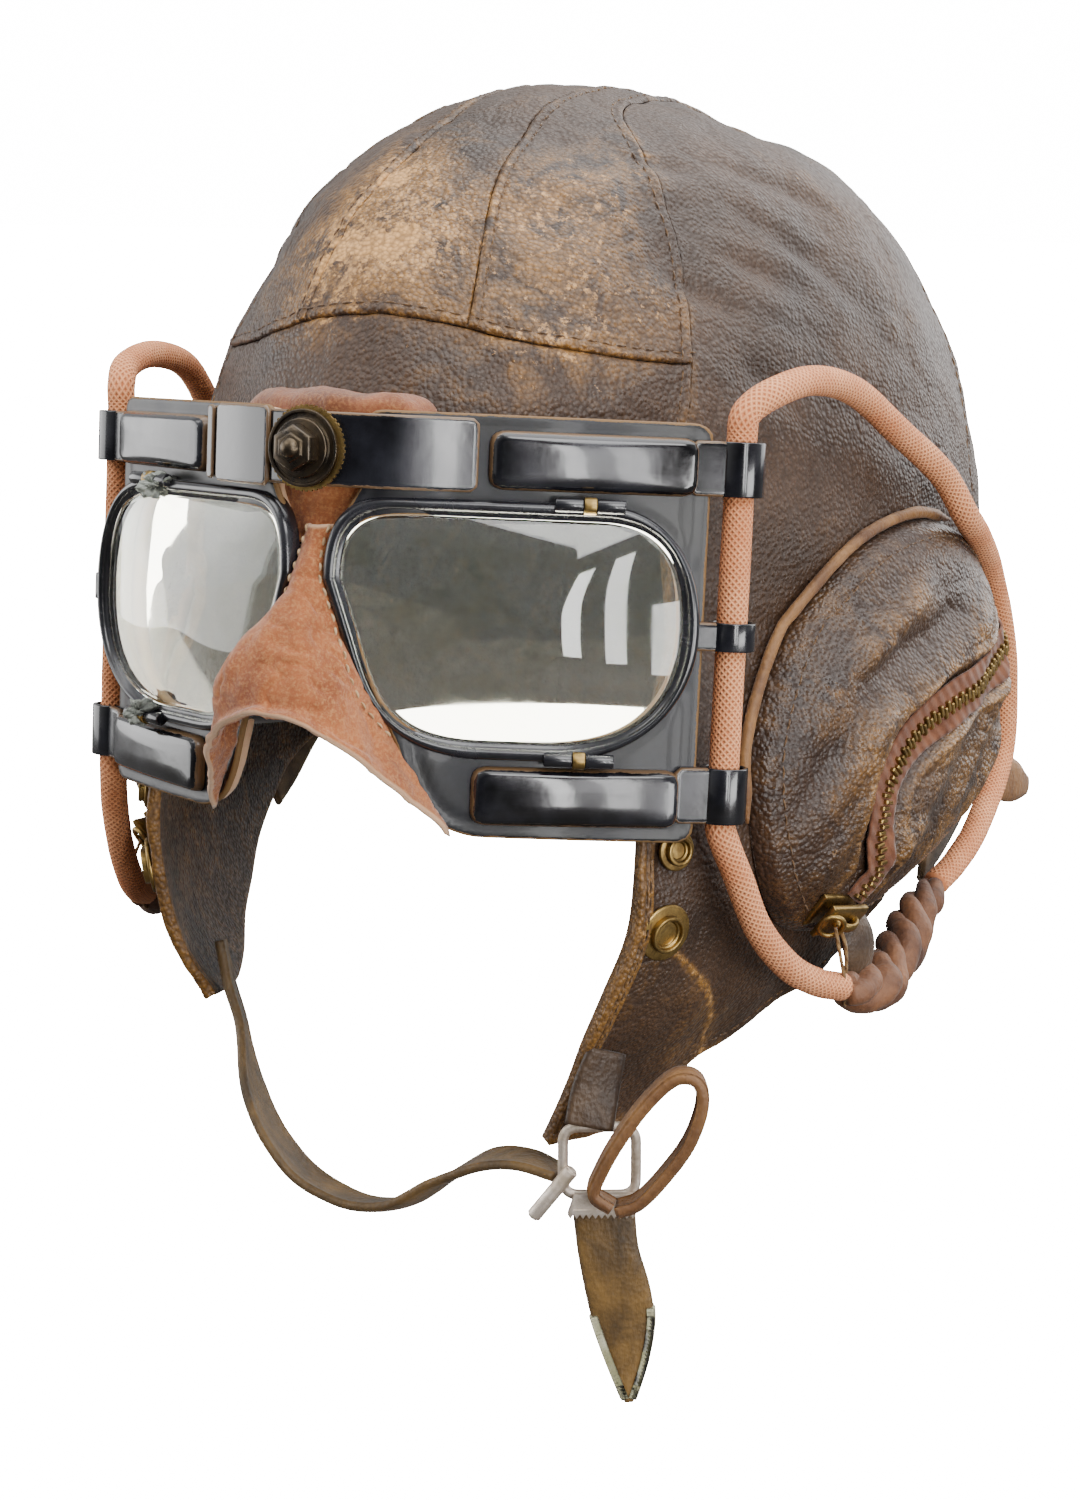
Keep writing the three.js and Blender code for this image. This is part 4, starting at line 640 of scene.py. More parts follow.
def chains(faces, column, level):
    """Runs of vertices, in order, that lie on a level line of a column of numbers."""
    on = np.abs(column - level) < 1e-5
    beside = {}
    for face in faces:
        for a, b in zip(face, face[1:] + face[:1]):
            if on[a] and on[b] and a != b:
                beside.setdefault(a, set()).add(b)
                beside.setdefault(b, set()).add(a)
    runs, left = [], set(beside)
    while left:
        start = next((v for v in sorted(left) if len(beside[v] & left) == 1), min(left))
        run = [start]
        left.discard(start)
        while True:
            following = sorted(beside[run[-1]] & left)
            if not following:
                break
            run.append(following[0])
            left.discard(following[0])
        if len(run) > 3:
            runs.append(run)
    return runs


def seam_frames(path, normals, pitch=STITCH_PITCH, lift=0.12):
    """Places of stitches along a line: along it, across it and off the surface."""
    run = run_of(path)
    if run[-1] < 2 * pitch:
        return []
    at = np.arange(pitch / 2, run[-1], pitch)
    place, out = taken_at(path, run, at), unit(taken_at(normals, run, at))
    ahead = square_to(taken_at(path, run, at + 0.8) - taken_at(path, run, at - 0.8), out)
    return [(p + o * lift, (a, np.cross(o, a), o)) for p, o, a in zip(place, out, ahead)]


def stitch_shape(length=STITCH_LENGTH, radius=THREAD):
    """A short thread that dips into the leather at both ends."""
    points = []
    for t in np.linspace(-1, 1, 5):
        thin = radius * (0.55 if abs(t) == 1 else 1)
        for a in range(5):
            turn = 2 * math.pi * a / 5
            points.append((t * length / 2, thin * math.cos(turn),
                           thin * math.sin(turn) + 0.22 * (1 - t * t) - 0.2))
    faces = grid_quads(5, 5, wrap_columns=True).tolist()
    faces += [list(range(4, -1, -1)), list(range(20, 25))]
    return points, faces


def sew(name, frames, material, length=STITCH_LENGTH, radius=THREAD):
    """Single stitches in their frames, each turned a little at random."""
    points, faces = stitch_shape(length, radius)
    shaken = []
    for at, axes in frames:
        twist = random.uniform(-0.12, 0.12)
        a, s, o = axes
        shaken.append((at, (a * math.cos(twist) + s * math.sin(twist),
                            s * math.cos(twist) - a * math.sin(twist), o)))
    return dress(copies(name, points, faces, shaken), None, material)


# Modelling by hand

CYLINDER = bpy.ops.mesh.primitive_cylinder_add


def only(piece):
    bpy.ops.object.select_all(action="DESELECT")
    piece.select_set(True)
    bpy.context.view_layer.objects.active = piece


def primitive(name, adder, **settings):
    """A primitive of its size in millimetres, alone in the selection."""
    bpy.ops.object.select_all(action="DESELECT")
    for key in ("radius", "depth", "size", "major_radius", "minor_radius"):
        if key in settings:
            settings[key] *= MM
    adder(**settings)
    piece = bpy.context.active_object
    piece.name = name
    piece.data.transform(piece.matrix_basis)
    piece.matrix_basis = Matrix.Identity(4)
    return piece


def work(piece, pick, *steps):
    """Selects a piece's faces by a test of their place, and runs operators on them."""
    only(piece)
    bpy.ops.object.mode_set(mode="EDIT")
    bpy.ops.mesh.select_mode(type="FACE")
    bpy.ops.mesh.select_all(action="DESELECT")
    shape = bmesh.from_edit_mesh(piece.data)
    for face in shape.faces:
        face.select = bool(pick(face.calc_center_median() / MM, face.normal))
    shape.select_flush_mode()
    bmesh.update_edit_mesh(piece.data)
    for operator, settings in steps:
        operator(**settings)
    bpy.ops.object.mode_set(mode="OBJECT")
    return piece


def modified(piece, kind, **settings):
    """Adds a modifier with its settings and applies it."""
    only(piece)
    modifier = piece.modifiers.new(kind.lower(), kind)
    for key, value in settings.items():
        setattr(modifier, key, value)
    bpy.ops.object.modifier_apply(modifier=modifier.name)
    return piece


def bevelled(piece, width, segments=3):
    return modified(piece, "BEVEL", width=width * MM, segments=segments, limit_method="ANGLE")


def fused(piece, *others):
    """Joins other objects to a piece."""
    only(piece)
    for other in others:
        other.select_set(True)
    bpy.ops.object.join()
    return piece


# Steps for work, in millimetres

def inset(width):
    return bpy.ops.mesh.inset, {"thickness": width * MM}


def pulled(*way):
    return bpy.ops.mesh.extrude_region_move, {
        "TRANSFORM_OT_translate": {"value": tuple(v * MM for v in way)}}


def swollen(height):
    return bpy.ops.mesh.extrude_region_shrink_fatten, {
        "TRANSFORM_OT_shrink_fatten": {"value": height * MM}}


def moved(*way):
    return bpy.ops.transform.translate, {"value": tuple(v * MM for v in way)}


def scaled(*factors):
    return bpy.ops.transform.resize, {"value": factors}


def placed(piece, *matrices):
    for matrix in matrices:
        piece.data.transform(matrix)
    if matrices and any(m.determinant() < 0 for m in matrices):
        piece.data.flip_normals()
    piece.data.shade_smooth()
    return sharpened(piece)


def axes_matrix(x, y, z, at):
    """Puts a piece's axes along three directions and its origin at a place in millimetres."""
    turn = Matrix((x, y, z)).transposed().to_4x4()
    return Matrix.Translation(Vector(at) * MM) @ turn


GOGGLES = Matrix.Translation(Vector(GOGGLE_PLACE) * MM) @ Matrix.Rotation(GOGGLE_PITCH, 4, "X")
MIRROR = Matrix.Diagonal((-1, 1, 1, 1))


def side_matrices(side):
    return (MIRROR,) if side == RIGHT else ()


# Finishes

def colour(text):
    """Linear colour of an sRGB hex value."""
    parts = [int(text[i:i + 2], 16) / 255 for i in (0, 2, 4)]
    return (*[p / 12.92 if p <= 0.04045 else ((p + 0.055) / 1.055) ** 2.4 for p in parts], 1)


def per(millimetres):
    """Texture scale for a pattern whose marks are that far apart."""
    return 1 / (millimetres * MM)


# Forms of node: kind, the inputs that its values go to, output, settings
FORMS = {
    "mix": ("Mix", (0, 6, 7), 2, {"data_type": "RGBA"}),
    "between": ("Mix", (0, 2, 3), 0, {"data_type": "FLOAT"}),
    "range": ("MapRange", (0, 1, 2, 3, 4), 0, {}),
    "times": ("Math", (0, 1), 0, {"operation": "MULTIPLY"}),
    "plus": ("Math", (0, 1), 0, {"operation": "ADD"}),
    "larger": ("Math", (0, 1), 0, {"operation": "MAXIMUM"}),
    "sine": ("Math", (0,), 0, {"operation": "SINE"}),
    "vector_times": ("VectorMath", (0, 1), 0, {"operation": "MULTIPLY"}),
    "vector_plus": ("VectorMath", (0, 1), 0, {"operation": "ADD"}),
    "dot": ("VectorMath", (0, 1), 1, {"operation": "DOT_PRODUCT"}),
    "part": ("SeparateXYZ", (0,), 0, {}),
    "mapped": ("Mapping", ("Vector", "Scale", "Rotation"), 0, {}),
    "noise": ("TexNoise", ("Vector", "Scale", "Detail", "Roughness", "Distortion"), 0, {}),
    "cells": ("TexVoronoi", ("Vector", "Scale"), 0, {"feature": "F1"}),
    "ribs": ("TexWave", ("Vector", "Scale", "Distortion", "Detail"), 1, {}),
    "bump": ("Bump", ("Distance", "Strength", "Height", "Normal"), 0, {}),
    "painted": ("Attribute", (), 2, {}),
    "uv": ("UVMap", (), 0, {"uv_map": "along"}),
    "place": ("TexCoord", (), 3, {}),
    "ray": ("LightPath", (), 0, {})}


def node(tree, form, *values, out=None, **settings):
    """Adds a node of a form with its values, links and settings, and gives its output."""
    kind, inputs, usual, own = FORMS[form]
    made = tree.nodes.new("ShaderNode" + kind)
    for key, value in {**own, **settings}.items():
        setattr(made, key, value)
    for key, value in zip(inputs, values):
        if isinstance(value, bpy.types.NodeSocket):
            tree.links.new(value, made.inputs[key])
        else:
            made.inputs[key].default_value = colour(value) if isinstance(value, str) else value
    return made.outputs[usual if out is None else out]


def finish(name, roughness, **constants):
    """A material with its shader's constants, what adds its nodes, and the piece's place."""
    material = bpy.data.materials.new(name)
    material.use_nodes = True
    shader = material.node_tree.nodes["Principled BSDF"]
    shader.inputs["Roughness"].default_value = roughness
    for key, value in constants.items():
        shader.inputs[key.replace("_", " ")].default_value = value
    add = functools.partial(node, material.node_tree)
    return material, add, add("place")


def joined(material, **outputs):
    """Links outputs to the material's shader."""
    tree = material.node_tree
    for key, output in outputs.items():
        tree.links.new(output, tree.nodes["Principled BSDF"].inputs[key.replace("_", " ")])
    return material


def duller(add, dull, parts):
    """Roughness with shares of other outputs added."""
    for output, share in parts:
        dull = add("plus", dull, add("times", output, share))
    return dull


def pebbles(add, place, size, wander=0.35):
    """Rounded grains of leather, their sides pushed about by a coarser noise."""
    shake = add("noise", place, per(size * 2.2), 2.0, out=1)
    moved = add("vector_times", shake, (size * MM * wander,) * 3)
    return add("cells", add("vector_plus", place, moved), per(size))


def aged_leather(name, dark, brown, tan, bare, grain, roughness=0.4):
    """Glazed leather, its dye rubbed off the raised places down to the tan hide."""
    material, add, place = finish(
        name, roughness, Specular_IOR_Level=0.5, Sheen_Weight=0.05, Sheen_Roughness=0.4)
    wear, bald, edge = (add("painted", attribute_name=key) for key in ("wear", "bare", "edge"))
    blotch = add("noise", place, per(34), 6, 0.6)
    cloud = add("noise", place, per(11), 7, 0.68, 0.9)
    speck = add("noise", place, per(2.6), 6, 0.75)
    wrinkle = add("noise", place, per(5.5), 6, 0.6, 0.8)
    grains = pebbles(add, place, grain)
    base = add("mix", add("range", blotch, 0.35, 0.66), dark, brown)
    base = add("mix", add("range", cloud, 0.42, 0.75, 0, 0.45), base, brown)
    # Dye rubbed thin
    rubbed = add("times", wear, add("range", cloud, 0.4, 0.6, 0.15, 1.3))
    rubbed = add("times", rubbed, add("range", speck, 0.35, 0.62, 0.45, 1.2))
    base = add("mix", add("range", rubbed, 0.08, 0.7), base, tan)
    # Glaze gone in islands and flecks
    islands = add("range", add("noise", place, per(7), 10, 0.7, 0.5), 0.3, 0.7, -0.75, 0.75)
    gone = add("range", add("plus", bald, islands), 0.78, 0.81)
    base = add("mix", gone, base, bare)
    flecks = add("range", add("noise", place, per(2.4), 8, 0.75, 0.2), 0.3, 0.7, -0.8, 0.8)
    flecked = add("plus", add("times", wear, 0.8), flecks)
    base = add("mix", add("range", flecked, 0.8, 0.88, 0, 0.7), base, bare)
    # Raw edges, and painted shade in the valleys between the grains
    base = add("mix", add("range", edge, 0, 1, 0, 0.85), base, tan)
    valley = add("range", grains, 0.25, 0.75)
    # Painted shade: the colour is darkened towards the dark dye where the grains dip
    base = add("mix", add("times", valley, 0.5), base, dark)
    dull = add("plus", add("range", blotch, 0.3, 0.7, -0.06, 0.08), roughness)
    dull = duller(add, dull, ((gone, 0.35), (rubbed, -0.14), (valley, 0.16)))
    relief = add("bump", 0.0008, 0.5, wrinkle)
    relief = add("bump", 0.00036, 0.95, add("times", grains, -1), relief)
    relief = add("bump", 0.0001, 0.5, speck, relief)
    relief = add("bump", 0.00025, 0.8, add("times", gone, -1), relief)
    return joined(material, Base_Color=base, Roughness=dull, Normal=relief)


def suede(name, low, middle, high):
    """Brushed split leather: a soft nap in patches, paler where it lies the other way."""
    material, add, place = finish(
        name, 0.82, Specular_IOR_Level=0.25, Sheen_Weight=0.3, Sheen_Roughness=0.5)
    patch = add("noise", place, per(16), 5, 0.6, 0.6)
    hair = add("noise", place, per(0.7), 4, 0.7)
    soot = add("noise", place, per(30), 4, 0.6)
    base = add("mix", add("range", patch, 0.36, 0.64), low, middle)
    base = add("mix", add("range", hair, 0.45, 0.75, 0, 0.55), base, high)
    base = add("mix", add("range", soot, 0.56, 0.72, 0, 0.4), base, low)
    hem = add("range", add("painted", attribute_name="edge"), 0.3, 0.8, 0, 0.75)
    base = add("mix", hem, base, "dcb692")
    relief = add("bump", 0.0008, 0.5, patch)
    relief = add("bump", 0.0003, 0.7, hair, relief)
    return joined(material, Base_Color=base, Normal=relief)


def stove_enamel(name, black, worn_to, roughness=0.16, gloss=0.35):
    """Black enamel baked on pressed steel: glassy, scratched, and brown where the edges wear."""
    material, add, place = finish(
        name, roughness, Specular_IOR_Level=0.35 + 0.7 * gloss, Coat_Weight=gloss, Coat_Roughness=0.06)
    edge = add("painted", attribute_name="edge")
    chips = add("noise", place, per(3.5), 6, 0.75)
    haze = add("noise", place, per(18), 5, 0.6)
    drawn = add("mapped", place, (1, 1, 14), (0.5, 0.3, 0))
    scratch = add("range", add("noise", drawn, per(5), 8, 0.8), 0.68, 0.72)
    worn = add("range", add("plus", edge, add("times", chips, 0.9)), 1.12, 1.24)
    base = add("mix", add("range", haze, 0.4, 0.7), black, "24252c")
    base = add("mix", worn, base, worn_to)
    base = add("mix", add("times", scratch, 0.35), base, "6c6a68")
    dull = add("plus", add("range", haze, 0.35, 0.7, 0, 0.12), roughness)
    dull = duller(add, dull, ((worn, 0.3), (scratch, 0.2)))
    relief = add("bump", 0.0004, 0.25, add("noise", place, per(12), 4, 0.55))
    relief = add("bump", 0.0001, 0.6, worn, relief)
    return joined(material, Base_Color=base, Roughness=dull, Normal=relief)


def old_metal(name, clean, stained, roughness, pitting=1.0, metallic=1.0):
    """Plated or solid metal gone dull with handling, with stains and fine pits."""
    material, add, place = finish(name, roughness, Metallic=metallic)
    stain = add("noise", place, per(5), 6, 0.65, 0.5)
    pits = add("noise", place, per(pitting), 5, 0.7)
    base = add("mix", add("range", stain, 0.38, 0.64), clean, stained)
    base = add("mix", add("range", pits, 0.6, 0.72, 0, 0.6), base, stained)
    dull = add("plus", add("range", stain, 0.3, 0.7, -0.05, 0.22), roughness)
    relief = add("bump", 0.00012, 0.7, pits)
    return joined(material, Base_Color=base, Roughness=dull, Normal=relief)


def braided_cotton(name, dark, middle, light, round_count, length_count):
    """Cotton braided over a core: short slanting strands, soiled in patches.

    The strands are drawn coarser than the real ones, which are too fine for the picture.
    """
    material, add, place = finish(
        name, 0.85, Specular_IOR_Level=0.2, Sheen_Weight=0.06, Sheen_Roughness=0.5)
    uv, both = add("uv"), []
    for lean in (1, -1):
        turned = add("mapped", uv, (length_count, round_count * lean, 1))
        lane = add("plus", add("part", turned), add("part", turned, out=1))
        both.append(add("sine", add("times", lane, 2 * math.pi)))
    weave = add("larger", *both)
    soil = add("noise", place, per(14), 5, 0.65)
    fuzz = add("noise", place, per(0.6), 3, 0.6)
    base = add("mix", add("range", weave, -0.6, 1.0), dark, light)
    base = add("mix", add("range", soil, 0.42, 0.7, 0, 0.7), base, middle)
    base = add("mix", add("range", fuzz, 0.5, 0.8, 0, 0.3), base, light)
    relief = add("bump", 0.00025, 0.7, weave)
    relief = add("bump", 0.00015, 0.5, fuzz, relief)
    return joined(material, Base_Color=base, Normal=relief)


def cloth(name, dark, light, rib, roughness=0.85, lie="DIAGONAL"):
    """Close-woven cotton: ribs a rib apart across the light, crossed by a fine fuzz."""
    material, add, place = finish(
        name, roughness, Specular_IOR_Level=0.25, Sheen_Weight=0.2, Sheen_Roughness=0.5)
    ribs = add("ribs", place, per(rib) / WAVES_PER_UNIT, 0.6, 2.0, bands_direction=lie)
    soil = add("noise", place, per(7), 5, 0.65)
    fuzz = add("noise", place, per(0.7), 3, 0.6)
    base = add("mix", add("range", soil, 0.35, 0.7), dark, light)
    base = add("mix", add("times", ribs, 0.35), base, dark)
    relief = add("bump", 0.0003, 0.8, ribs)
    relief = add("bump", 0.0002, 0.5, fuzz, relief)
    return joined(material, Base_Color=base, Normal=relief)


def strap_leather(name, dark, light, grain, roughness=0.5):
    """Bridle leather gone supple: streaks along it, dark edges and a soft polish."""
    material, add, place = finish(
        name, roughness, Specular_IOR_Level=0.45, Sheen_Weight=0.1, Sheen_Roughness=0.5)
    cloud = add("noise", place, per(12), 6, 0.65, 0.5)
    streak = add("noise", add("mapped", place, (1, 1, 0.25)), per(2.5), 5, 0.7)
    base = add("mix", add("range", cloud, 0.34, 0.66), dark, light)
    base = add("mix", add("range", streak, 0.5, 0.75, 0, 0.4), base, dark)
    rim = add("range", add("painted", attribute_name="edge"), 0.0, 0.9, 0.55, 0.0)
    base = add("mix", rim, base, dark)
    relief = add("bump", 0.0006, 0.5, streak)
    relief = add("bump", 0.0002, 0.6, pebbles(add, place, grain), relief)
    return joined(material, Base_Color=base, Normal=relief)


def clear_glass(name):
    """Laminated glass, faintly olive at its depth, with finger marks that blur it a little."""
    material, add, place = finish(name, 0.03, IOR=1.5, Transmission_Weight=1.0)
    smear = add("noise", place, per(14), 5, 0.6, 0.8)
    base = add("mix", add("range", smear, 0.4, 0.7), "eef0e6", "dcdfcd")
    dull = add("range", smear, 0.45, 0.75, 0.015, 0.08)
    return joined(material, Base_Color=base, Roughness=dull)


# Glazed dark hide: brown clouds, tan where it is rubbed, pale islands where the glaze is gone
CAP_HIDE = aged_leather("aniline_dyed_sheepskin_worn", "291a0e", "4b331e", "8b622c", "d6a264", 1.0)
# The same hide on the pockets, shinier, greyer and less worn
POCKET_HIDE = aged_leather("aniline_dyed_sheepskin_pocket", "261810", "432f20", "77552f", "aa8155",
                           1.0, 0.3)
# Plain calf, orange brown and half polished, for the welts, the keeper and the rear tab
TAN_HIDE = strap_leather("vegetable_tanned_calf", "5a3a20", "946a3c", 1.0, 0.55)
# Salmon suede over the nose, matt, with a pale rubbed hem
NOSE_SUEDE = suede("chamois_split_suede", "7e4426", "aa653a", "d89e68")
# The darker suede of the pads
PAD_SUEDE = suede("padded_sheepskin_suede", "66381e", "925636", "bc8656")
# Lacing of the wraps, dull red brown with dark rims
WRAP_HIDE = strap_leather("dyed_lamb_lacing", "46291a", "855838", 1.1, 0.6)
# Salmon cotton whose slanting strands cross like scales
BRAID = braided_cotton("braided_cotton_cord", "be7048", "cb7649", "f8ae7c", 14, 15)
# Chin strap, olive to ochre in clouds
OLIVE_STRAP = strap_leather("olive_bridle_strap", "40301a", "7c5e30", 1.0, 0.55)
# Strips of the cap's own hide, for the tabs
TAB_HIDE = strap_leather("cap_hide_cut_in_strips", "2a1c12", "54402c", 1.0, 0.45)
# Drab webbing with ribs across it
WEBBING = cloth("narrow_cotton_webbing", "4a3826", "7a6244", 1.2, 0.85, "X")
# Glossy black that mirrors the windows, brown at its edges
ENAMEL = stove_enamel("black_stove_enamel", "08080b", "6a5034", 0.13)
# The flat plates' enamel, rubbed to a satin grey black
PLATE_ENAMEL = stove_enamel("black_stove_enamel_rubbed", "141312", "7a5c38", 0.34, 0.08)
# Dark warm steel of the bridge bolt
DARK_STEEL = old_metal("blued_steel", "46423e", "5c5040", 0.24)
# Black of the lens rims, through which brass shows at the edges
RIM_STEEL = stove_enamel("blacked_brass_rim", "131316", "9a7a4a", 0.2)
# Crusted grey solder
LEAD = old_metal("corroded_solder", "9a9e96", "50524e", 0.55, 0.6, 0.8)
# Yellow brass with brown stains, for the studs, the teeth and the sliders
BRASS = old_metal("aged_cast_brass", "b0935a", "6a5634", 0.32)
# Warm white plating, dulled by handling
NICKEL = old_metal("nickel_plated_brass", "f4e8dc", "c4b6a4", 0.5)
# Red brown tape beside the teeth
ZIP_TAPE = cloth("cotton_zip_tape", "54301f", "86573c", 1.1)
# Threads: the pulls' brown, the nose piece's cream and the seams' dark one
THREADS = cloth("waxed_cotton_thread", "6b5234", "a88455", 0.5)
PALE_THREAD = cloth("unbleached_linen_thread", "a8845c", "dcc09a", 0.5)
DARK_THREAD = cloth("waxed_cotton_thread_dark", "4a3624", "7a5c3c", 0.5)
# Pale yellowed trim at the tip of the strap
PALE_TRIM = cloth("celluloid_strap_tip", "8f8d66", "cfcbb0", 3.0, 0.5)
# Clear lenses, with smears that soften what is seen through them
GLASS = clear_glass("laminated_lens_glass")


# Cap

def field_normalised(value, along_rows, along_columns):
    """Turns a field over a grid of points into a distance in millimetres on its surface."""
    du = (np.roll(value, -1, 1) - np.roll(value, 1, 1)) / 2
    dv = np.gradient(value, axis=0)
    a = np.sum(along_columns * along_columns, -1)
    b = np.sum(along_columns * along_rows, -1)
    c = np.sum(along_rows * along_rows, -1)
    slope = (c * du * du - 2 * b * du * dv + a * dv * dv) / np.maximum(a * c - b * b, 1e-9)
    return value / np.sqrt(np.clip(slope, 0.16, 4))


def cap_grid():
    """The cap's outside as rings of points from the crown down, with its normals and fields."""
    columns = 384
    rises = np.radians(np.concatenate([[90], np.linspace(88.4, 0, 102)]))
    heights = EAR_LEVEL + DOME_RISE * np.sin(rises) ** (2 / DOME_POWER)
    scales = np.maximum(np.cos(rises), 0) ** (2 / DOME_POWER)
    skirt = np.arange(EAR_LEVEL - 1.1, -213, -1.1)
    z = np.concatenate([heights, skirt])[:, None]
    scale = np.concatenate([scales, np.ones(len(skirt))])[:, None]
    direction = (2 * math.pi * (np.arange(columns) + 0.5) / columns)[None, :]
    points = wall_point(direction, z + 0 * direction, scale)
    along = (np.roll(points, -1, 1) - np.roll(points, 1, 1)) / 2
    down = np.gradient(points, axis=0)
    normals = unit(np.cross(down, along))
    normals[0] = (0, 0, 1)
    return points, normals, along, down


def cap_relief(points):
    """Height of the leather off the smooth cap: dents, creases, soft waves and wrinkles."""
    low = points[..., 2]
    waves = 1.1 * lumps(points, 36, 2, 3.1) + 0.5 * lumps(points, 14, 2, 8.7)
    folds = near_segments(points, CAP_CREASES, 3)
    valleys = creases_of(points, 19, 5.0, (1.3, 1.0, 0.7)) * 0.4
    fine = creases_of(points, 8.5, 1.7, (1.2, 1.2, 0.6)) * 0.1
    flap = smooth_step(-low, 150, 190)
    waves = waves + flap * 0.9 * lumps(points, 16, 2, 21.0, (1, 1, 0.45))
    return -dent_depth(points) + waves - folds - valleys - fine + 0.25


POINTS, NORMALS, ALONG, DOWN = cap_grid()
RELIEF = cap_relief(POINTS)
CAP_QUADS = grid_quads(*POINTS.shape[:2], wrap_columns=True)


def cap_fields():
    """Distances from the seams and edges of the cap, in millimetres."""
    x, y, z = np.moveaxis(POINTS, -1, 0)
    wide = np.abs(x)
    face, hem = (np.where(x > 0, curve_at(table, 1, at), curve_at(table, 2, at))
                 for table, at in ((FACE_EDGE, z), (HEM, y)))
    raw = {
        "inner": wide - curve_at(STRIP_SEAMS, 1, y),
        "outer": wide - curve_at(STRIP_SEAMS, 2, y),
        "brow": np.where((y < 0) & (wide < 70), curve_at(BROW_SEAM, 1, wide) - z, -FAR),
        "rear": y - curve_at(REAR_SEAM, 1, z),
        "face": np.where(y < -20, -np.maximum(z + 70, wide - face), -FAR),
        "hem": hem - z,
        "flap": np.where(y < 0, z - FLAP_TOP, FAR)}
    return {key: field_normalised(value, DOWN, ALONG) for key, value in raw.items()}


FIELDS = cap_fields()
FIELDS["not_inner"] = -FIELDS["inner"]
FIELDS["not_brow"] = np.where(POINTS[..., 1] < -28, -FIELDS["brow"], FAR)
FIELDS["side"] = np.minimum(-FIELDS["outer"], FIELDS["flap"])
FIELDS["not_flap"] = -FIELDS["flap"]
FIELDS["not_rear"] = -FIELDS["rear"]

# panel: its fields, and for each the kind of edge and the distances of its rows of stitches
CROWN_EDGES = (("brow", "over", (2.2,)), ("hem", "raw", (3.0,)))
CAP_PANELS = {
    "crown_center_strip": (("inner", "flush", ()), *CROWN_EDGES),
    "crown_strip": (("not_inner", "over", (2.0,)), ("outer", "over", (2.4,)), *CROWN_EDGES),
    "brow_band": (("not_brow", "under", ()), ("outer", "over", (2.2,)), ("face", "raw", (3.0,)),
                  ("not_flap", "none", ())),
    "side_panel": (("side", "flush", ()), ("rear", "over", (2.4,)), ("face", "raw", (2.6,)),
                   ("hem", "raw", (3.0,))),
    "back_panel": (("side", "flush", ()), ("not_rear", "flush", ()), ("hem", "raw", (3.0,))),
}
STITCH_PLACES = []
FIRST_FIELD = 7  # columns of a panel's rows before its fields: place, normal, relief
TURNED_LINES = (1.3, 1.6, 1.9, 3.4, 3.7)  # lines that the turned edge of a flap bends on
UNDER_DIPS = {"under": 0.35, "flush": 0.05}  # how far an under panel sinks beside the seam


def edge_profile(inside, kind, puckers):
    """Rise of a panel near an edge of its kind, inside millimetres from it."""
    if kind == "over":
        fold = 0.28 / (1 + np.exp((inside - 3.6) / 0.6)) + 0.2 * bell(inside - 0.9, 0.8)
        return fold + puckers * bell(inside, 4.5)
    if kind in UNDER_DIPS:
        lap = 0.95 * (1 - smooth_step(inside, 0.0, 0.3))
        dip = UNDER_DIPS[kind] * bell(np.maximum(inside, 0), 0.9)
        return puckers * bell(inside, 4.0) - dip - lap
    if kind == "raw":
        return 0.4 * bell(inside, 2.6) + puckers * bell(inside, 5.0)
    return 0 * inside


def patch_distance(points):
    """Distance inside the patch on the lower front of each flap, at its upper edge."""
    flat, found = points[:, 1:], np.full(len(points), 1e9)
    for start, end in zip(FLAP_PATCH[:-1], FLAP_PATCH[1:]):
        run = end - start
        t = np.clip((flat - start) @ run / (run @ run), 0, 1)
        off = flat - start - t[:, None] * run
        away = np.linalg.norm(off, axis=1)
        ahead = np.sign(off[:, 0] * run[1] - off[:, 1] * run[0])
        found = np.where(away < np.abs(found), away * ahead, found)
    return found


def panel_sheet(key, side):
    """The part of the cap that a panel is cut from: its rows and faces, parted along its lines."""
    edges, flat = CAP_PANELS[key], POINTS.reshape(-1, 3)
    columns = [flat, NORMALS.reshape(-1, 3), RELIEF.reshape(-1, 1)]
    columns += [FIELDS[field].reshape(-1, 1) for field, _, _ in edges]
    quads, cuts = CAP_QUADS, []
    if side:
        quads = quads[flat[quads, 0].mean(1) * side > 0]
    if key == "side_panel":
        columns.append(-patch_distance(flat)[:, None])
        cuts += [(FIRST_FIELD + len(edges), level, False) for level in (0.4, 0.1, -0.3, -0.9)]
    for column, (field, kind, stitches) in enumerate(edges, FIRST_FIELD):
        if key == "side_panel" and field == "face":
            cuts += [(column, -SEAM_GAP - line, False) for line in TURNED_LINES]
        cuts.append((column, LAP if kind in UNDER_DIPS else -SEAM_GAP, True))
        lines = [0.0] if kind in UNDER_DIPS else []
        lines += [] if kind == "none" else [0.3, 0.8]
        cuts += [(column, -SEAM_GAP - line, False) for line in (*lines, *stitches)]
    rows, faces = trimmed(np.concatenate(columns, 1), quads, cuts)
    return rows, largest_part(faces, len(rows))


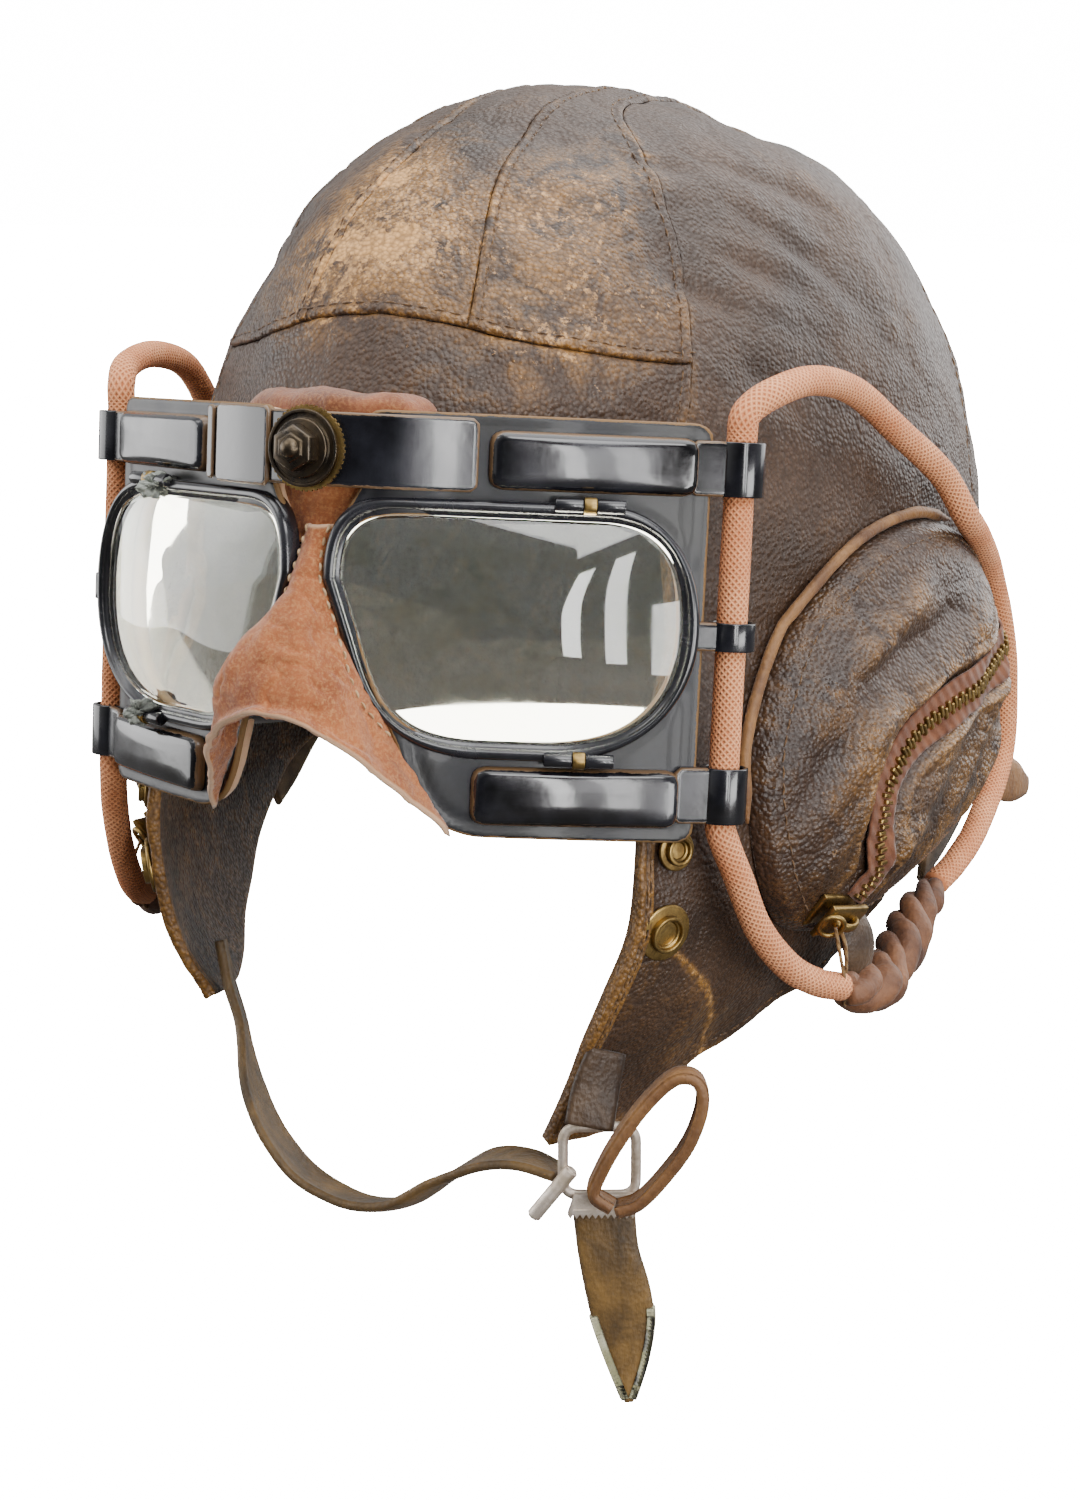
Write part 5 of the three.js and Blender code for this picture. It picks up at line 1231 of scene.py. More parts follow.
def cap_panel(name, key, side):
    """A panel of the cap: thick, pared or lapped at its seams, turned and stitched at its edges."""
    edges = CAP_PANELS[key]
    rows, faces = panel_sheet(key, side)
    points, normals, relief = rows[:, :3], rows[:, 3:6], rows[:, 6].copy()
    puckers = 0.22 * lumps(points, 6.5, 2, 31.0)
    count = len(rows)
    nearest, raw, pared = np.full(count, FAR), np.full(count, FAR), np.zeros(count)
    for column, (_, kind, stitches) in enumerate(edges, FIRST_FIELD):
        inside = -rows[:, column] - SEAM_GAP
        relief += edge_profile(inside, kind, puckers)
        for far in stitches:
            relief -= 0.22 * bell(inside - far, 0.5)
        if kind in UNDER_DIPS:
            nearest = np.minimum(nearest, np.where(inside > -1e-4, inside + 0.25, FAR))
        elif kind != "none":
            nearest = np.minimum(nearest, inside)
        if kind == "over":
            pared = np.maximum(pared, 1 - smooth_step(inside, LAP + 0.1, LAP + 0.9))
        if kind == "raw":
            raw = np.minimum(raw, inside)
    low = smooth_step(-points[:, 2], 130, 150) * smooth_step(-points[:, 1], 60, 80)
    turned, groove = 1 - smooth_step(raw, 3.4, 3.7), bell(raw - 1.6, 0.22)
    step = 0.6 * turned - 0.55 * groove
    laid = patch_distance(points)
    relief += low * (step * (raw > -0.01) + 0.35 * smooth_step(laid, -0.1, 0.3))
    round_off = 0.36 * bell(np.maximum(nearest, 0), 0.32)
    front = points + normals * (relief - round_off)[:, None]
    inner = round_off * 0.6 * (pared < 0.01) + SKIVED * pared - LEATHER - dent_depth(points)
    back = points + normals * inner[:, None]
    raised = relief + dent_depth(points)
    wear = near_spots(points, WORN_SPOTS) + 0.14 * np.clip(raised + 0.1, -0.4, 1.2)
    scuffed = np.clip(0.5 + 1.6 * lumps(points, 12, 3, 17.0), 0, 1)
    wear = wear + 0.34 * scuffed * bell(nearest, 1.5)
    wear = wear + 0.8 * bell(laid - 0.5, 0.7)
    bare = near_spots(points, BARE_SPOTS)
    worn_in = 0.85 + 0.5 * lumps(points, 7, 3, 4.0)
    edge = bell(np.maximum(raw, 0), 0.75) * (1 - low)
    edge += low * turned * (1 - groove) * np.clip(worn_in, 0.2, 1)
    values = {"wear": np.concatenate([np.clip(wear, 0, 1), np.full(count, 0.25)]),
              "bare": np.concatenate([bare, np.zeros(count)]),
              "edge": np.concatenate([edge, edge])}
    for column, (_, _, stitches) in enumerate(edges, FIRST_FIELD):
        for far in stitches:
            for run in chains(faces, rows[:, column], -SEAM_GAP - far):
                STITCH_PLACES.extend(seam_frames(front[run], normals[run]))
    return mesh_piece(name, np.concatenate([front, back]), walled(faces, count), values)


def make_cap():
    for key in ("crown_center_strip", "brow_band"):
        dress(cap_panel(key + ".hide", key, 0), key, CAP_HIDE)
    for side, word in SIDES:
        for key in ("crown_strip", "side_panel", "back_panel"):
            name = f"{key}_{word}"
            dress(cap_panel(name + ".hide", key, side), name, CAP_HIDE)
    sew("cap_stitching", STITCH_PLACES, DARK_THREAD)


# Ear pockets

RIM_CURVE = smooth_path(POCKET_RIM, 1.5, True)
ZIP_PATH = smooth_path(ZIP_LINE, 1.0)


def rim_reach(angle):
    """Distance of the pocket's rim from its middle, in a direction."""
    offset = RIM_CURVE - POCKET_CENTRE
    turn, far = np.arctan2(offset[:, 1], offset[:, 0]), np.hypot(offset[:, 0], offset[:, 1])
    order = np.argsort(turn)
    return np.interp(angle, turn[order], far[order], period=2 * math.pi)


def zip_distance(y, z):
    """Distance from the middle of the zip, and how far along it the nearest point is."""
    away = np.hypot(y[..., None] - ZIP_PATH[:, 0], z[..., None] - ZIP_PATH[:, 1])
    return away.min(-1), away.argmin(-1) / (len(ZIP_PATH) - 1)


def pocket_height(y, z):
    """Height of the pocket's leather off the cap."""
    offset_y, offset_z = y - POCKET_CENTRE[0], z - POCKET_CENTRE[1]
    ring = np.hypot(offset_y, offset_z) / rim_reach(np.arctan2(offset_z, offset_y))
    swell = np.maximum(0, 1 - np.minimum(ring, 1) ** 3) ** 0.6
    flat = np.stack([y, z], -1)
    inside = np.minimum(1, 2.6 * (1 - np.minimum(ring, 1)))
    folds = near_segments(flat, POCKET_FOLDS, 2)
    place = np.stack([0 * y, y, z], -1)
    waves = 0.9 * lumps(place, 22, 2, 2.0) - 0.4 * creases_of(place, 12, 4.0, (1, 0.6, 1.2))
    away, run = zip_distance(y, z)
    lips = 0.9 * bell(away - 6.6, 1.1) - 0.9 * (1 - smooth_step(away, 4.6, 6.2))
    lips = lips * (1 - smooth_step(run, 0.96, 1.0)) * smooth_step(run, 0.0, 0.02)
    height = POCKET_DOME * swell + (folds + waves) * inside + lips * np.minimum(1, 5 * (1 - ring))
    return np.maximum(height, 0.05), ring


def pocket_place(y, z, lift):
    base = np.stack([side_half_width(y, z), y, z], -1)
    return base + side_normal(y, z) * (GAP + lift)[..., None]


def make_pocket(side, word):
    around, rings = 300, np.concatenate([np.sin(np.linspace(0, math.pi / 2, 84))[1:-1], [0.9995]])
    angle = 2 * math.pi * np.arange(around) / around
    reach = rim_reach(angle) * rings[:, None]
    y = POCKET_CENTRE[0] + reach * np.cos(angle)
    z = POCKET_CENTRE[1] + reach * np.sin(angle)
    height, ring = pocket_height(y, z)
    from_rim = (1 - rings[:, None]) * rim_reach(angle)
    height = height + 0.7 * bell(from_rim - 2.2, 1.4)
    front = pocket_place(y, z, height)
    back = pocket_place(y, z, np.maximum(height - 1.8, 0.0))
    centre = [p[0].mean(0) for p in (front, back)]
    points, shell = domed(front, back, centre)
    smooth = POCKET_DOME * np.maximum(0, 1 - ring**3) ** 0.6
    wear = 0.2 * np.clip(height - smooth, -0.5, 3.0) + 0.18
    away, _ = zip_distance(y, z)
    wear = wear + 0.45 * bell(away - 6.4, 1.0)
    wear = np.clip(wear, 0, 1).ravel()
    nothing = np.zeros(len(points))
    values = {"wear": np.concatenate([wear, 0 * wear, [0.3, 0]]), "bare": nothing,
              "edge": nothing}
    piece = mesh_piece(f"ear_pocket_{word}.hide", sided(points, side), shell, values)
    dress(piece, f"ear_pocket_{word}", POCKET_HIDE)
    row = np.abs(from_rim[:, 0] - 3.4).argmin()
    line = np.concatenate([front[row], front[row][:1]])
    out = side_normal(line[:, 1], line[:, 2])
    frames = seam_frames(sided(line, side), sided(out, side))
    sew(f"pocket_stitching_{word}", frames, DARK_THREAD)


def make_piping(side, word):
    rows = np.concatenate([POCKET_RIM[15:], POCKET_RIM[:6]])
    fine = smooth_path(rows, 1.2)
    outward = unit(fine - POCKET_CENTRE)
    y, z = (fine + 1.5 * outward).T
    path = pocket_place(y, z, 1.2 + 0 * y)
    out = side_normal(y, z)
    t = np.linspace(0, 1, len(path))
    radius = PIPING_RADIUS * (1 + 0.1 * lumps(path, 4, 2)) * np.minimum(1, 0.3 + 12 * np.minimum(t, 1 - t))
    piece = swept(f"pocket_piping_{word}.calf", sided(path, side), radius[:, None, None] * circle(14),
                  sided(out, side), {"edge": np.full((len(path), 14), 2.0)})
    dress(piece, f"pocket_piping_{word}", TAN_HIDE)


def make_zip(side, word):
    """A cotton tape in the recess between the pocket's two edges, with brass teeth on it."""
    y, z, width = ZIP_PATH.T
    flat = np.stack([y, z], -1)
    ahead = unit(np.gradient(flat, axis=0))
    across = np.stack([-ahead[:, 1], ahead[:, 0]], -1)
    lanes = np.linspace(-1, 1, 15)
    place = flat[:, None] + across[:, None] * (lanes[None, :] * width[:, None] / 2 * 0.72)[..., None]
    height, _ = pocket_height(place[..., 0], place[..., 1])
    middle, _ = pocket_height(y, z)
    sits = np.maximum(height + 0.25, (middle + 0.35)[:, None])
    top = pocket_place(place[..., 0], place[..., 1], sits + 0.35)
    under = pocket_place(place[..., 0], place[..., 1], sits - 0.25)
    quads = grid_quads(len(y), len(lanes)).tolist()
    count = len(y) * len(lanes)
    points = np.concatenate([top.reshape(-1, 3), under.reshape(-1, 3)])
    piece = mesh_piece(f"zip_tape_{word}.cotton", sided(points, side), walled(quads, count))
    dress(piece, f"zip_tape_{word}", ZIP_TAPE)
    # Teeth: short bars that alternate about the middle
    line = pocket_place(y, z, middle + 1.0)
    out = side_normal(y, z)
    frames = seam_frames(sided(line, side), sided(out, side), 1.3, 0.0)
    teeth = []
    for number, (at, (a, s, o)) in enumerate(frames):
        teeth.append((at + s * (0.5 if number % 2 else -0.5), (a, s, o)))
    box = [(a * 0.42, s * 1.25, o * 0.45) for o in (-1, 1) for s in (-1, 1) for a in (-1, 1)]
    box += [(a * 0.26, s * 1.0, 0.7) for s in (-1, 1) for a in (-1, 1)]
    faces = [[0, 2, 3, 1], [0, 1, 5, 4], [1, 3, 7, 5], [3, 2, 6, 7], [2, 0, 4, 6],
             [4, 5, 9, 8], [5, 7, 11, 9], [7, 6, 10, 11], [6, 4, 8, 10], [8, 9, 11, 10]]
    bars = copies(f"zip_teeth_{word}.brass", box, faces, teeth)
    dress(sharpened(bars, 30), None, BRASS)


def make_slider(side, word):
    """Cast slider: a waisted body with a bridge over it, and a split ring for a pull."""
    at, out, along = (np.array(v, float) for v in ZIP_SLIDER)
    out = unit(out)
    along = unit(along - out * (along @ out))
    place = axes_matrix(along, np.cross(out, along), out, at + 1.2 * out)
    body = primitive(f"zip_slider_{word}.brass", bpy.ops.mesh.primitive_cube_add, size=1)
    body.data.transform(Matrix.Diagonal((12.5, 9, 1.2, 1)))
    work(body, lambda c, n: n.x < -0.9, scaled(1, 0.72, 1), pulled(-0.7, 0, 0), scaled(1, 0.6, 0.8))
    work(body, lambda c, n: n.z > 0.9, inset(0.8), moved(0, 0, 0.3))
    bevelled(body, 0.3)
    under = body.copy()
    under.data = body.data.copy()
    bpy.context.scene.collection.objects.link(under)
    body.data.transform(Matrix.Translation((0, 0, 1.6 * MM)))
    under.data.transform(Matrix.Translation((0, 0, -1.6 * MM)))
    bridge = primitive("bridge", bpy.ops.mesh.primitive_torus_add, major_radius=2.3, minor_radius=0.8,
                       major_segments=40, minor_segments=14)
    bridge.data.transform(Matrix.Rotation(math.pi / 2, 4, "X"))
    bridge.data.transform(Matrix.Diagonal((1.25, 1.5, 0.85, 1)))
    bridge.data.transform(Matrix.Translation((-0.6 * MM, 0, 2.4 * MM)))
    ring = primitive("ring", bpy.ops.mesh.primitive_torus_add, major_radius=2.7, minor_radius=0.55,
                     major_segments=40, minor_segments=12)
    ring.data.transform(Matrix.Rotation(0.5, 4, "Y"))
    ring.data.transform(Matrix.Translation((4.6 * MM, 0, 3.2 * MM)))
    placed(fused(body, under, bridge, ring), place, *side_matrices(side))
    dress(body, f"zip_slider_{word}", BRASS)


# Goggles

def slab_grid(x_range, z_range, step):
    """A grid over the front of the plates: points, normals forwards."""
    x = np.linspace(*x_range, max(2, round((x_range[1] - x_range[0]) / step)))
    z = np.linspace(*z_range, max(2, round((z_range[1] - z_range[0]) / step)))
    z, x = np.meshgrid(z, x, indexing="ij")
    slope = (plate_plan(x + 0.5) - plate_plan(x - 0.5))
    points = np.stack([x, plate_plan(x), z], -1)
    return points, unit(np.stack([slope, -1 + 0 * x, 0 * x], -1))


def slab(name, x_range, z_range, fields, front, back, step=1.0, rings=(0.25, 0.7), side=LEFT):
    """A closed slab over the plates, cut by fields, with front and back heights by the distance
    inside its edge."""
    points, normals = slab_grid(x_range, z_range, step)
    edges = fields(points)
    sheet = np.concatenate([points.reshape(-1, 3), normals.reshape(-1, 3),
                            np.stack([e.ravel() for e in edges], 1)], 1)
    quads = grid_quads(*points.shape[:2])
    cuts = []
    for number in range(len(edges)):
        cuts.append((6 + number, 0.0, True))
        cuts += [(6 + number, -ring, False) for ring in rings]
    rows, faces = trimmed(sheet, quads, cuts)
    faces = largest_part(faces, len(rows))
    inside = np.maximum(-rows[:, 6:].max(1), 0)
    top, under = front(rows[:, :3], inside), back(rows[:, :3], inside)
    made = np.concatenate([rows[:, :3] + rows[:, 3:6] * top[:, None],
                           rows[:, :3] + rows[:, 3:6] * under[:, None]])
    worn = bell(inside, 0.8)
    values = {"edge": np.concatenate([worn, worn])}
    made = sided(to_goggles(made), side)
    return mesh_piece(name, made, walled(faces, len(rows)), values)


def rounding(inside, radius, height=None):
    """A quarter-round edge: 0 at the edge, height from radius inwards."""
    t = 1 - np.minimum(inside / radius, 1)
    return (radius if height is None else height) * np.sqrt(np.maximum(0, 1 - t * t))


PLATE_SHAPE = rounded_outline(PLATE_OUTLINE, 3.0)
EYE_SHAPE = rim_outline(RIM_WIDTH)


def plate_fields(shape, eye):
    def fields(points):
        u, v = rim_flat(points)
        return (outline_distance(points[..., 0], points[..., 2], shape), -outline_distance(u, v, eye))
    return fields


def rect_outline(left, right, bottom, top, radius):
    return rounded_outline([(right, bottom), (right, top), (left, top), (left, bottom)], radius)


def inside_of(outline):
    return lambda p: (outline_distance(p[..., 0], p[..., 2], outline),)


def box_slab(name, box, corner, back, front, edge, rings, step=1.0, side=LEFT):
    """A rectangular slab on the plates, from back to front, with rounded front edges."""
    return slab(name, box[:2], box[2:], inside_of(rect_outline(*box, corner)),
                lambda p, d: front + rounding(d, *edge), lambda p, d: back + 0 * d, step, rings, side)


PANEL_PLACES = {"upper": (30.3, 64, 26.9, 38.1), "lower": (29.5, 63.5, -37.4, -26)}


def make_plates(side, word):
    # Pressed plate with a turned edge
    plate = slab(f"goggle_plate_{word}.enamel", *PLATE_SPAN, plate_fields(PLATE_SHAPE, EYE_SHAPE),
                 lambda p, d: -0.5 + rounding(d, 0.7, 0.5) - 0.25 * bell(d - 2.6, 0.8),
                 lambda p, d: -PLATE_THICK + 0.4 - rounding(d, 0.7, 0.4), side=side)
    dress(plate, f"goggle_plate_{word}", PLATE_ENAMEL)
    # Leather pad behind it
    shape = np.array([(x - 1.5 if x > 60 else x + 2.5 * (z < 20), z - 0.5 if z > 35 else z)
                      for x, z in PLATE_OUTLINE])
    near, far = -PLATE_THICK - GAP, -PAD_BACK
    middle = (near + far) / 2
    pad = slab(f"face_pad_{word}.suede", *PLATE_SPAN,
               plate_fields(rounded_outline(shape, 4), EYE_SHAPE),
               lambda p, d: middle + rounding(d, 1.5),
               lambda p, d: middle - rounding(d, 1.5) - 0.35 * np.abs(lumps(p, 9, 2)),
               rings=(0.15, 0.5, 1.0, 1.5), side=side)
    dress(pad, f"face_pad_{word}", PAD_SUEDE)
    for place, (left, right, bottom, top) in PANEL_PLACES.items():
        outline = rect_outline(left, right, bottom, top, 2.6)
        centre_x, half_x = (left + right) / 2, (right - left) / 2
        panel = slab(f"plate_panel_{place}_{word}.enamel", (left, right), (bottom, top), inside_of(outline),
                     lambda p, d: GAP + rounding(d, 1.5, 2.5)
                     + 0.6 * np.maximum(0, 1 - ((p[:, 0] - centre_x) / half_x) ** 2) * np.minimum(1, d / 3),
                     lambda p, d: GAP - 0.2 + 0 * d, rings=(0.1, 0.3, 0.6, 1.0, 1.5), side=side)
        dress(panel, f"plate_panel_{place}_{word}", ENAMEL)


# Section of a lens rim: inset from its outline, depth in front of its plane
RIM_PROFILE = (
    (0.5, -4), (0, -3.4), (0, -1.2), (0.25, -0.5), (0.8, -0.1), (1.4, 0), (1.9, -0.2), (2.15, -0.7),
    (2.35, -1.1), (2.9, -1.2), (3.25, -1.45), (3.4, -1.9), (3.4, -3.4), (3.0, -4))


def looped(name, outlines, depths, side):
    """A closed ring whose section goes through outlines of equal count at their depths."""
    points = np.stack([to_goggles(rim_place(o[:, 0], o[:, 1], d + 0 * o[:, 0]))
                       for o, d in zip(outlines, depths)])
    quads = grid_quads(*points.shape[:2], True, True)
    worn = np.zeros(points.shape[:2])
    worn[4:6] = 0.35
    return mesh_piece(name, sided(points.reshape(-1, 3), side), quads.tolist(), {"edge": worn.ravel()})


def plate_depth(outline):
    """How far behind the rim plane the plates' front is, along an outline."""
    depth = np.full(len(outline), -16.0)
    for d in np.arange(-16, -1, 0.25):
        p = rim_place(outline[:, 0], outline[:, 1], d + 0 * outline[:, 0])
        ahead = plate_plan(p[:, 0]) - p[:, 1] > 0.1
        depth = np.where(ahead & (depth <= -16), d, depth)
    return np.maximum(depth, -16.0)


def make_rim(side, word):
    ring = looped(f"lens_rim_{word}.brass", [rim_outline(i) for i, _ in RIM_PROFILE],
                  [d for _, d in RIM_PROFILE], side)
    dress(ring, f"lens_rim_{word}", RIM_STEEL)
    outer, inner = rim_outline(0.5), rim_outline(1.7)
    back = plate_depth(outer)
    wall_rings = [(outer, -3.5 + 0 * back), (outer, back), (inner, back), (inner, -3.5 + 0 * back)]
    points = np.stack([to_goggles(rim_place(o[:, 0], o[:, 1], np.minimum(d, -3.5))) for o, d in wall_rings])
    quads = grid_quads(*points.shape[:2], True, True)
    wall = mesh_piece(f"lens_cup_{word}.brass", sided(points.reshape(-1, 3), side), quads.tolist(),
                      {"edge": np.full(points.shape[0] * points.shape[1], 0.25)})
    dress(sharpened(wall), None, RIM_STEEL)
    # Hinges: a brass pin between two knuckles, above and below the glass
    for number, v in enumerate((24.6, -24.0)):
        for k, (u, width, radius, stuff) in enumerate((
                (50.6, 5.4, 1.35, RIM_STEEL), (54.6, 2.4, 1.7, BRASS), (58.6, 5.4, 1.35, RIM_STEEL))):
            knuckle = primitive(f"rim_hinge_{number}{k}_{word}", CYLINDER,
                                vertices=24, radius=radius, depth=width)
            work(knuckle, lambda c, n: abs(n.z) > 0.9, inset(0.35))
            bevelled(knuckle, 0.22, 2)
            across = Vector((math.cos(RIM_WRAP), math.sin(RIM_WRAP), 0))
            out = Vector((math.sin(RIM_WRAP), -math.cos(RIM_WRAP), 0))
            at = rim_place(u, v, 0.1)
            placed(knuckle, axes_matrix(out, Vector((0, 0, 1)), across, at), GOGGLES, *side_matrices(side))
            dress(knuckle, None, stuff)
    if side == RIGHT:
        for number, (u, v) in enumerate(((52.5, 23.6), (55.5, -23.2))):
            lump = primitive(f"rim_solder_{number}", bpy.ops.mesh.primitive_ico_sphere_add,
                             subdivisions=5, radius=3.0)
            for vertex in lump.data.vertices:
                far = 1 + 0.8 * noise.fractal(vertex.co / MM / 2.2, 1.0, 2.0, 4)
                vertex.co = vertex.co * Vector((1.3, 0.75, 0.7)) * far
            at = rim_place(u, v, 0.4)
            placed(lump, Matrix.Translation(Vector(at) * MM), GOGGLES, MIRROR)
            dress(lump, None, LEAD)
    make_lens(side, word)


def make_lens(side, word):
    outline = rim_outline(RIM_WIDTH - 0.5)
    centre = np.array((41.0, 1.0))
    rings = np.linspace(0, 1, 26)[1:]
    faces_at = []
    for depth in (-1.5, -3.0):
        layer = []
        for ring in rings:
            u, v = (centre + (outline - centre) * ring).T
            layer.append(rim_place(u, v, depth + LENS_DOME * (1 - ring * ring) + 0 * u))
        faces_at.append(np.array(layer))
    middles = [rim_place(*centre, d) for d in (LENS_DOME - 1.5, LENS_DOME - 3.0)]
    points, shell = domed(*faces_at, middles)
    lens = mesh_piece(f"lens_{word}.glass", sided(to_goggles(points), side), shell)
    dress(lens, f"lens_{word}", GLASS)


# name, left, right, bottom and top, corner, back, front, radius and height of its edge, rings, step
BRIDGE_SLABS = (
    ("bridge_bar", (-28.5, 28.5, 26.2, 40.2), 1.6, GAP, 1.5, (0.8, 0.5), (0.15, 0.4, 0.8), 1.0),
    ("bridge_lap", (-24.5, -8.5, 25.6, 40.8), 0.8, 2.05, 2.3, (0.6,), (0.15, 0.35, 0.6), 1.0),
    ("bridge_lip", (-28.3, -26.1, 26.0, 40.4), 0.5, 2.05, 2.2, (0.4,), (0.15, 0.4), 0.5))


def make_bridge():
    """The bar between the plates with its clamp screw: dished washer, nut and domed end."""
    for name, box, corner, back, front, edge, rings, step in BRIDGE_SLABS:
        made = box_slab(f"{name}.enamel", box, corner, back, front, edge, rings, step)
        dress(made, name if name == "bridge_bar" else None, ENAMEL)
    face = float(plate_plan(0)) - GAP - 1.7
    forward = Matrix.Translation(Vector((0, face, 33.2)) * MM) @ Matrix.Rotation(math.pi / 2, 4, "X")
    washer = primitive("bridge_washer.brass", CYLINDER, vertices=72,
                       radius=7.3, depth=1.3, location=(0, 0, 0.95 * MM))
    work(washer, lambda c, n: n.z > 0.9, inset(0.7), pulled(0, 0, -0.45), inset(1.0), pulled(0, 0, 0.3))
    bevelled(washer, 0.18)
    dress(placed(washer, forward, GOGGLES), "bridge_washer", DARK_STEEL)
    # Milled brass ring under the washer
    shim = primitive("bridge_shim.brass", CYLINDER, vertices=96,
                     radius=7.9, depth=0.5, location=(0.35 * MM, 0, 0.35 * MM))
    work(shim, lambda c, n: abs(n.z) < 0.1 and int(math.degrees(math.atan2(c.y, c.x)) // 3.75) % 2,
         swollen(0.25))
    dress(placed(shim, forward, GOGGLES), None, BRASS)
    nut = primitive("bridge_nut.steel", CYLINDER, vertices=6, radius=4.4,
                    depth=3.6, location=(0, 0, 3.8 * MM))
    work(nut, lambda c, n: n.z > 0.9, inset(0.9), moved(0, 0, 0.35), inset(0.5), pulled(0, 0, 0.5))
    bevelled(nut, 0.25)
    flange = primitive("flange", CYLINDER, vertices=48, radius=5.6,
                       depth=0.9, location=(0, 0, 2.0 * MM))
    bevelled(flange, 0.3)
    tip = primitive("tip", bpy.ops.mesh.primitive_uv_sphere_add, segments=32, ring_count=16,
                    radius=2.1, location=(0, 0, 5.6 * MM))
    dress(placed(fused(nut, flange, tip), forward, GOGGLES), "bridge_nut", DARK_STEEL)


def nose_place(u, v):
    """Front of the nose piece: u from one sewn edge to the other, v from the top down."""
    edge_x, edge_y, edge_z, crest_y, crest_z = (curve_at(NOSE_ROWS, c, v) for c in range(1, 6))
    bend = np.abs(u) ** 2.1
    points = np.stack([edge_x * u, crest_y + (edge_y - crest_y) * bend,
                       crest_z + (edge_z - crest_z) * bend], -1)
    lobe = 6.5 * np.exp(-((u + 0.6) / 0.42) ** 2 - ((v - 3.3) / 1.3) ** 2)
    curl = 3.0 * smooth_step(v, 4.3, 5.0) ** 2 * (1 - np.abs(u) ** 3)
    return (points + lobe[..., None] * np.array((-0.75, -0.66, 0))
            + curl[..., None] * np.array((-0.2, -0.75, 0.45)))


def make_nose_piece():
    u, v = np.meshgrid(np.linspace(-1, 1, 111), np.linspace(0, 5, 96))
    points = nose_place(u, v)
    along, down = np.gradient(points, axis=1), np.gradient(points, axis=0)
    normals = unit(np.cross(down, along))
    waves = 1.1 * lumps(points, 14, 3, 2.0, (1.3, 1, 0.6)) + 0.3 * lumps(points, 4.5, 2, 7.0)
    waves = waves - 0.5 * creases_of(points, 9, 6.0, (0.6, 1, 1.2))
    thin = smooth_step(v, 0.0, 0.08) * smooth_step(5 - v, 0.0, 0.07)
    front = points + normals * (waves - 0.7 + 0.7 * thin)[..., None]
    back = points + normals * (waves - 1.5 + 0.6 * (1 - thin))[..., None]
    mirrored = np.concatenate([np.abs(points[..., :1]), points[..., 1:]], -1)
    flat_u, flat_v = rim_flat(mirrored)
    before = mirrored[..., 0] * math.sin(RIM_WRAP) - (mirrored[..., 1] - RIM_BRIDGE_Y) * math.cos(RIM_WRAP)
    rim = np.minimum(-1.0 - outline_distance(flat_u, flat_v, rim_outline(0)), 1.2 - before)
    hem = bell(5 - v, 0.09) + bell(v, 0.13)
    sheet = np.concatenate([a.reshape(-1, a.shape[-1]) for a in
                            (front, back, rim[..., None], hem[..., None], normals)], 1)
    quads = grid_quads(96, 111)
    rows, faces = trimmed(sheet, quads, [(6, 0.0, True), (6, -1.7, False)])
    faces = largest_part(faces, len(rows))
    front = to_goggles(rows[:, :3])
    values = {"edge": np.concatenate([rows[:, 7], rows[:, 7]])}
    piece = mesh_piece("nose_piece.suede", np.concatenate([front, to_goggles(rows[:, 3:6])]),
                       walled(faces, len(rows)), values)
    dress(piece, "nose_piece", NOSE_SUEDE)
    frames = []
    for run in chains(faces, rows[:, 6], -1.7):
        frames += seam_frames(front[run], rows[run, 8:], 2.6, 0.2)
    sew("nose_stitching", frames, PALE_THREAD, length=1.6, radius=0.3)
    # Suede facing between the plates, behind the top of the nose piece
    x, z = np.meshgrid(np.linspace(-11, 11, 45), np.linspace(28, 15, 37))
    x = x * (0.45 + 0.55 * smooth_step(z, 15, 25))
    flat = np.stack([x, -36.6 + 0.02 * x * x, z], -1)
    flat = flat - np.array((0, 1, 0)) * (0.5 * lumps(flat, 7, 3, 5.0))[..., None]
    points = np.concatenate([flat.reshape(-1, 3), flat.reshape(-1, 3) + (0, 1.4, 0)])
    facing = mesh_piece("nose_facing.suede", to_goggles(points),
                        walled(grid_quads(37, 45).tolist(), 37 * 45))
    dress(facing, None, NOSE_SUEDE)


def make_brow_pad():
    """A folded suede cushion between the bridge and the brow of the cap."""
    x = np.linspace(-25, 16.5, 64)
    around = np.linspace(0, 2 * math.pi, 40, endpoint=False)
    near, far = PAD_BACK + GAP + 0.3, 19.5
    rows = []
    for i, at in enumerate(x):
        end = math.sqrt(max(0.02, 1 - abs(2 * i / 63 - 1) ** 6))
        depth, tall = (far - near) / 2 * (0.6 + 0.4 * end), 4.9 * end
        cy = plate_plan(at) + (near + far) / 2
        rows.append([(at, cy + depth * signed_power(math.cos(a), 0.7),
                      39.4 + tall * signed_power(math.sin(a), 0.8)) for a in around])
    points = np.array(rows)
    points = points + np.array((0, 0, 1)) * (0.8 * lumps(points, 9, 3, 4.0))[..., None]
    points = to_goggles(points)
    section = wall_point(np.arctan2(points[..., 0], -points[..., 1]), points[..., 2])
    room = np.hypot(section[..., 0], section[..., 1]) + 0.4
    radius = np.hypot(points[..., 0], points[..., 1])
    grow = np.maximum(1, room / radius)
    points = points * np.stack([grow, grow, 1 + 0 * grow], -1)
    faces = grid_quads(64, 40, wrap_columns=True).tolist()
    faces += [list(range(40)), list(range(63 * 40 + 39, 63 * 40 - 1, -1))]
    piece = mesh_piece("brow_pad.suede", points.reshape(-1, 3), faces)
    dress(piece, "brow_pad", PAD_SUEDE)


CLAMPS = {"top": (27.2, 37.8), "middle": (-2.6, 3.0), "bottom": (-36.4, -25.4)}


